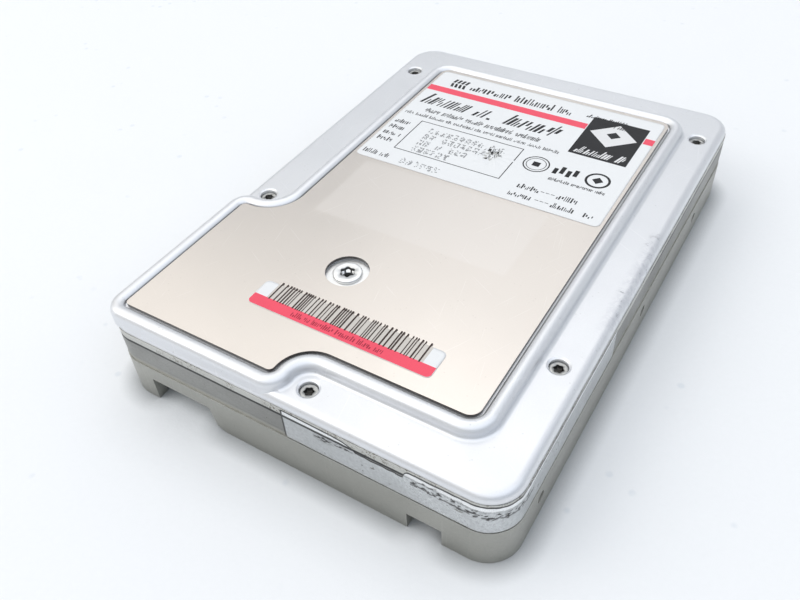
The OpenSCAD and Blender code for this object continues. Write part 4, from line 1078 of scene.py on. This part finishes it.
tapeBand = {"inset": 0.3, "corner": 7.7, "seam": 18.2, "thick": 0.12, "foil": 0.1}
caseLow, caseHigh = cadBox
halfW = (caseHigh.x - caseLow.x) / 2 / mm
halfL = (caseHigh.y - caseLow.y) / 2 / mm


def bandPath(out, step=0.45):
    # points and outward directions round the case, anticlockwise from the middle of the right side
    w, l, r = halfW - tapeBand["inset"], halfL - tapeBand["inset"], tapeBand["corner"]
    points = []

    def straight(x0, y0, x1, y1, nx, ny):
        count = max(2, int(math.hypot(x1 - x0, y1 - y0) / step))
        for k in range(count):
            t = k / count
            points.append((x0 + (x1 - x0) * t + nx * out, y0 + (y1 - y0) * t + ny * out, nx, ny))

    def turn(cx, cy, start):
        count = int(r * math.pi / 2 / step)
        for k in range(count):
            a = start + math.pi / 2 * k / count
            points.append((cx + (r + out) * math.cos(a), cy + (r + out) * math.sin(a), math.cos(a), math.sin(a)))

    straight(w, 0, w, l - r, 1, 0)
    turn(w - r, l - r, 0)
    straight(w - r, l, -w + r, l, 0, 1)
    turn(-w + r, l - r, math.pi / 2)
    straight(-w, l - r, -w, -l + r, -1, 0)
    turn(-w + r, -l + r, math.pi)
    straight(-w + r, -l, w - r, -l, 0, -1)
    turn(w - r, -l + r, math.pi * 1.5)
    straight(w, -l + r, w, 0, 1, 0)
    return points


def pressedIn(x, y, z, depth, width):
    # the foil is rubbed into the seam, in a wandering line
    line = tapeBand["seam"] + 0.10 * wobble(x * 0.09, y * 0.09, 5)
    return depth * math.exp(-(((z - line) / width) ** 2))


def tapeMesh(path, closed, rows, lowZ, highZ, relief, seamOf, shadeAndGrimeOf):
    # a strip of foil along the path, in millimetres: relief moves each point out, seamOf and shadeAndGrimeOf darken
    # it with painted shade and dark lines
    build = bmesh.new()
    seam = build.verts.layers.float.new("seam")
    shadeAndGrime = build.verts.layers.float.new("shadeAndGrime")
    outer, inner = [], []
    for x, y, nx, ny in path:
        low, high = lowZ(x, y), highZ(x, y)
        lineOut, lineIn = [], []
        for j in range(rows + 1):
            z = low + (high - low) * j / rows
            out = relief(x, y, z)
            v = build.verts.new(((x + nx * out) * mm, (y + ny * out) * mm, z * mm))
            v[seam], v[shadeAndGrime] = seamOf(x, y), shadeAndGrimeOf(x, y, z, high)
            lineOut.append(v)
            back = out - tapeBand["foil"]
            lineIn.append(build.verts.new(((x + nx * back) * mm, (y + ny * back) * mm, z * mm)))
        outer.append(lineOut)
        inner.append(lineIn)
    count = len(path)
    for n in range(count if closed else count - 1):
        m = (n + 1) % count
        for j in range(rows):
            build.faces.new((outer[n][j], outer[m][j], outer[m][j + 1], outer[n][j + 1]))
            build.faces.new((inner[m][j], inner[n][j], inner[n][j + 1], inner[m][j + 1]))
        build.faces.new((outer[m][0], outer[n][0], inner[n][0], inner[m][0]))
        build.faces.new((outer[n][rows], outer[m][rows], inner[m][rows], inner[n][rows]))
    if not closed:
        for n, flip in ((0, False), (count - 1, True)):
            for j in range(rows):
                loop = [outer[n][j], outer[n][j + 1], inner[n][j + 1], inner[n][j]]
                build.faces.new(loop if flip else list(reversed(loop)))
    return toMesh(build)


foilMetallic = 0.9


def creasedFoil(name, colour, stripColour, roughness, speckled, streak=(1, 1, 1)):
    # foil with painted shade, near black and not metallic, in the seam crease and wherever the shadeAndGrime
    # attribute is set, and speckled on the strip above the seam
    material = finishOf(
        name, colour, darker=0.42, metallic=foilMetallic, roughness=roughness, roughSpread=0.09, grain=0.7,
        stretch=streak, bump=0.03, smudge=0.4, specks=0.8,
        speckColour=(0.05, 0.045, 0.04),
    )
    tree, shader, place = partsOf(material)
    z = addNode(tree, "SeparateXYZ", i0=place).outputs["Z"]
    wander = noiseOf(tree, place, 60.0, 3.0)
    level = mathNode(tree, "ADD", z, mathNode(tree, "MULTIPLY_ADD", wander, 0.00024, -0.00012))
    away = mathNode(tree, "ABSOLUTE", mathNode(tree, "SUBTRACT", level, tapeBand["seam"] * mm))
    seam = attributeOf(tree, "seam")
    shadeAndDirt = attributeOf(tree, "shadeAndGrime")
    # painted shade: the seam crease goes near black
    creaseShade = times(tree, stepMask(tree, away, 0.00042, 0.00030), seam)
    above = stepMask(tree, level, 0.0183, 0.0184)
    dots = noiseOf(tree, place, 2600.0, 2.0)
    patches = noiseOf(tree, place, 170.0, 2.0)
    rubbed = times(tree, stepMask(tree, dots, 0.54, 0.60), above)
    rubbed = times(tree, rubbed, stepMask(tree, patches, 0.42, 0.6))
    socket = shader.inputs["Base Color"]
    tone = mixColour(tree, above, socket.links[0].from_socket, stripColour)
    tone = mixColour(tree, times(tree, rubbed, speckled), tone, (0.16, 0.14, 0.11))
    # painted shade: near black in the seam crease and along the shadeAndGrime lines
    tone = mixColour(tree, mathNode(tree, "MAXIMUM", creaseShade, shadeAndDirt), tone, (0.012, 0.012, 0.012))
    tree.links.new(tone, socket)
    metal = mathNode(tree, "MULTIPLY_ADD", mathNode(tree, "MAXIMUM", creaseShade, shadeAndDirt), -foilMetallic, foilMetallic)
    tree.links.new(metal, shader.inputs["Metallic"])
    return material


def onFront(y):
    return y < -halfL + tapeBand["inset"] + 0.5


def addSealTape():
    low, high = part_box("seal_tape")
    bottom, top = low.z / mm, high.z / mm
    thick = tapeBand["thick"]

    def relief(x, y, z):
        ripple = 0.030 * (wobble(x * 0.8, y * 0.8, z * 1.3) + wobble(x * 0.25, y * 0.25, z * 0.7))
        return max(0.02, thick + 0.02 + ripple - pressedIn(x, y, z, 0.10, 0.16))

    def lowEdge(x, y):
        return bottom + 0.12 * wobble(x * 0.06, y * 0.06, 2)

    def highEdge(x, y):
        return top + 0.16 * wobble(x * 0.11, y * 0.11, 9) - 0.1

    def seamOf(x, y):
        # along the right side the painted shade in the seam crease fades out near the middle
        if x < halfW - 1:
            return 1.0
        broken = 0.5 + 1.6 * wobble(0, y * 0.22, 4)
        return unit((y - 2) / 3) * max(0.5, min(1.0, broken + 0.6))

    def shadeAndGrimeOf(x, y, z, high):
        # a thin dark line along the upper edge on the right side
        if x > halfW - 1 and y > 2:
            return 0.8 if high - z < 0.25 and wobble(0, y * 0.3, 8) > -0.1 else 0.0
        return 0.0

    mesh = tapeMesh(bandPath(0), True, 26, lowEdge, highEdge, relief, seamOf, shadeAndGrimeOf)
    foil = creasedFoil("seamFoil", (0.44, 0.44, 0.42), (0.56, 0.56, 0.53), 0.42, 0.8, streak=(1, 1, 5))
    meshObject("sealTape", mesh, "case", "foil_tape_dull", [foil], replaces=["seal_tape"])


overlap = {
    # millimetres along the front: the tongue's end, the torn stretch and the crumpled stretch
    "start": -0.4, "endY": -19.0, "tongueEnd": 17.6, "crumpleStart": 28.8, "top": 20.15, "round": 1.0, "rows": 56,
    "torn": ((10.2, 1.8, 16.9, 0.7), (14.8, 2.3, 17.2, 0.35)),
}


def addOverlap():
    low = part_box("seal_tape_overlap")[0]
    bottom = low.z / mm
    seamZ = tapeBand["seam"]
    path = [p for p in bandPath(0.05, 0.3) if p[3] < 0.5 and p[0] > overlap["start"] and p[1] < overlap["endY"]]

    def crumpled(x, y):
        if onFront(y):
            return unit((x - overlap["crumpleStart"]) / 3) + 0.35 * (7.5 < x < 17)
        return max(0.12, min(1.0, (-58 - y) / 8))

    def ridged(x, y, z):
        return 1 - abs(wobble(x * 0.42 + y * 0.42, z * 0.75, 4)) * 2.2

    def relief(x, y, z):
        amount = crumpled(x, y)
        band = math.exp(-(((z - 17.3) / 2.0) ** 2))
        fine = wobble(x * 1.5 + y * 1.5, z * 1.9, 2)
        lift = 0.16 * amount * band * (ridged(x, y, z) + 0.5 * fine)
        flat = 0.012 * wobble(x * 0.3, y * 0.3, z * 0.4)
        return max(0.07, min(0.235, 0.12 + flat + lift - pressedIn(x, y, z, 0.06, 0.14)))

    def lowEdge(x, y):
        start = max(0.0, 1 - (x - overlap["start"]) / overlap["round"]) if onFront(y) else 0.0
        return bottom + 0.9 * start * start + 0.10 * wobble(x * 0.2, y * 0.2, 6)

    def highEdge(x, y):
        wander = wobble(x * 0.5, y * 0.5, 12)
        if not onFront(y):
            return overlap["top"] - 0.35 + 0.25 * wander
        if x < overlap["tongueEnd"]:
            near = unit((overlap["tongueEnd"] - x) / 5.5)
            start = max(0.0, 1 - (x - overlap["start"]) / overlap["round"])
            tall = overlap["top"] - seamZ + 0.2 - 0.035 * (x + 0.4)
            return seamZ - 0.2 + tall * math.sqrt(1 - (1 - near) ** 2) - 0.5 * start * start
        if x < overlap["crumpleStart"]:
            return seamZ - 0.45 + 0.42 * wander
        rise = min(1.0, (x - overlap["crumpleStart"]) / 1.6)
        return seamZ - 0.2 + (overlap["top"] - 0.3 - seamZ + 0.2) * math.sqrt(1 - (1 - rise) ** 2) + 0.12 * wander

    def seamOf(x, y):
        if not onFront(y):
            return 0.15
        return 1.0 if x < overlap["crumpleStart"] else 0.25

    def shadeAndGrimeOf(x, y, z, high):
        # painted shade along the foil's outline, the dark torn patch under the tongue, and painted shade in the gaps
        # and creases of the crumples
        front = onFront(y)
        # painted shade along the upper edge and along the foil's start
        outline = 1.0 if high - z < 0.42 or (front and x - overlap["start"] < 0.62) else 0.0
        if front and 7.8 < x < 17.4:
            patch = sum(math.exp(-(((x - px) / w) ** 2) - (((z - pz) / h) ** 2)) for px, w, pz, h in overlap["torn"])
            torn = 2.3 * patch * (0.5 + 1.5 * wobble(x * 1.3, z * 2.4, 20))
            return max(outline, unit(torn))
        if crumpled(x, y) > 0.5:
            s = x if front else 40.0
            centre = 16.9 - 0.045 * (s - 30) if front else 16.2
            gap = wobble((x + y) * 0.95, z * 1.5, 31) + 0.35 * wobble((x + y) * 2.3, z * 3.1, 5)
            inBand = math.exp(-(((z - centre - 0.6) / 1.3) ** 2))
            wander = 0.35 * wobble((x + y) * 0.8, 0, 3)
            line = math.exp(-(((z - centre + wander) / 0.28) ** 2)) * (wobble((x + y) * 0.7, 2, 3) > -0.15)
            return max(outline, unit((gap * inBand - 0.09) * 12), 0.95 * line)
        return outline

    mesh = tapeMesh(path, False, overlap["rows"], lowEdge, highEdge, relief, seamOf, shadeAndGrimeOf)
    foil = creasedFoil("overlapFoil", (0.84, 0.865, 0.875), (0.86, 0.87, 0.875), 0.30, 0.15)
    meshObject("sealTapeOverlap", mesh, "case", "foil_tape_bright", [foil], replaces=["seal_tape_overlap"])


addSealTape()
addOverlap()
print("sealing tape laid")

# ---- floor ----


floorCloth = {
    "tint": (0.83, 0.84, 0.85), "shadowTint": (0.10, 0.115, 0.12), "speckTint": (0.45, 0.52, 0.60),
    "shadowReach": 0.0055, "shadowPower": 1.9, "shadow": 0.85,
    "halfWidth": 3.0, "front": -2.2, "bend": 0.9, "rise": 1.2, "wall": 1.5, "steps": 12,
}


def addFloor():
    material, tree, shader, place = startMaterial("paleCloth")
    weave = useGroup(tree, grainGroup, Place=place, Size=1.2, Detail=5.0)
    broad = useGroup(tree, stainGroup, Place=place, Smudge=120.0)
    tint = floorCloth["tint"]
    tone = mixColour(tree, weave.outputs["Value"], tuple(c * 0.965 for c in tint), tint)
    tone = mixColour(tree, times(tree, broad.outputs["Smudges"], 0.25), tone, tuple(c * 0.95 for c in tint))
    specks = useGroup(tree, stainGroup, Place=place, Speck=6.0)
    tone = mixColour(tree, times(tree, specks.outputs["Specks"], 0.22), tone, floorCloth["speckTint"])
    openness = addNode(tree, "AmbientOcclusion", {"samples": 8}, Distance=floorCloth["shadowReach"]).outputs["AO"]
    contact = mathNode(tree, "SUBTRACT", 1.0, mathNode(tree, "POWER", openness, floorCloth["shadowPower"]))
    tone = mixColour(tree, times(tree, contact, floorCloth["shadow"]), tone, floorCloth["shadowTint"])
    tree.links.new(tone, shader.inputs["Base Color"])
    shader.inputs["Roughness"].default_value = 0.85
    shader.inputs["Specular IOR Level"].default_value = 0.2
    relief = addNode(tree, "Bump", Strength=0.3, Distance=0.0002, Height=weave.outputs["Value"])
    tree.links.new(relief.outputs[0], shader.inputs["Normal"])
    build = bmesh.new()
    bend, rise, steps = floorCloth["bend"], floorCloth["rise"], floorCloth["steps"]
    profile = [(floorCloth["front"], 0), (bend, 0)]
    for k in range(1, steps + 1):
        a = math.pi / 2 * k / steps
        profile.append((bend + rise * math.sin(a), rise * (1 - math.cos(a))))
    profile.append((bend + rise, rise + floorCloth["wall"]))
    half = floorCloth["halfWidth"]
    rows = [[build.verts.new((x, y, z)) for y, z in profile] for x in (-half, half)]
    for k in range(len(profile) - 1):
        build.faces.new((rows[0][k], rows[0][k + 1], rows[1][k + 1], rows[1][k]))
    mesh = toMesh(build, recalculate=False)
    mesh.flip_normals()
    mesh.polygons.foreach_set("use_smooth", [True] * len(mesh.polygons))
    floor = bpy.data.objects.new("floor", mesh)
    mesh.materials.append(material)
    show(floor)


addFloor()
placeCamera(cameraView)
addLights()
bpy.context.scene.view_settings.view_transform = "Standard"
print("stage set")
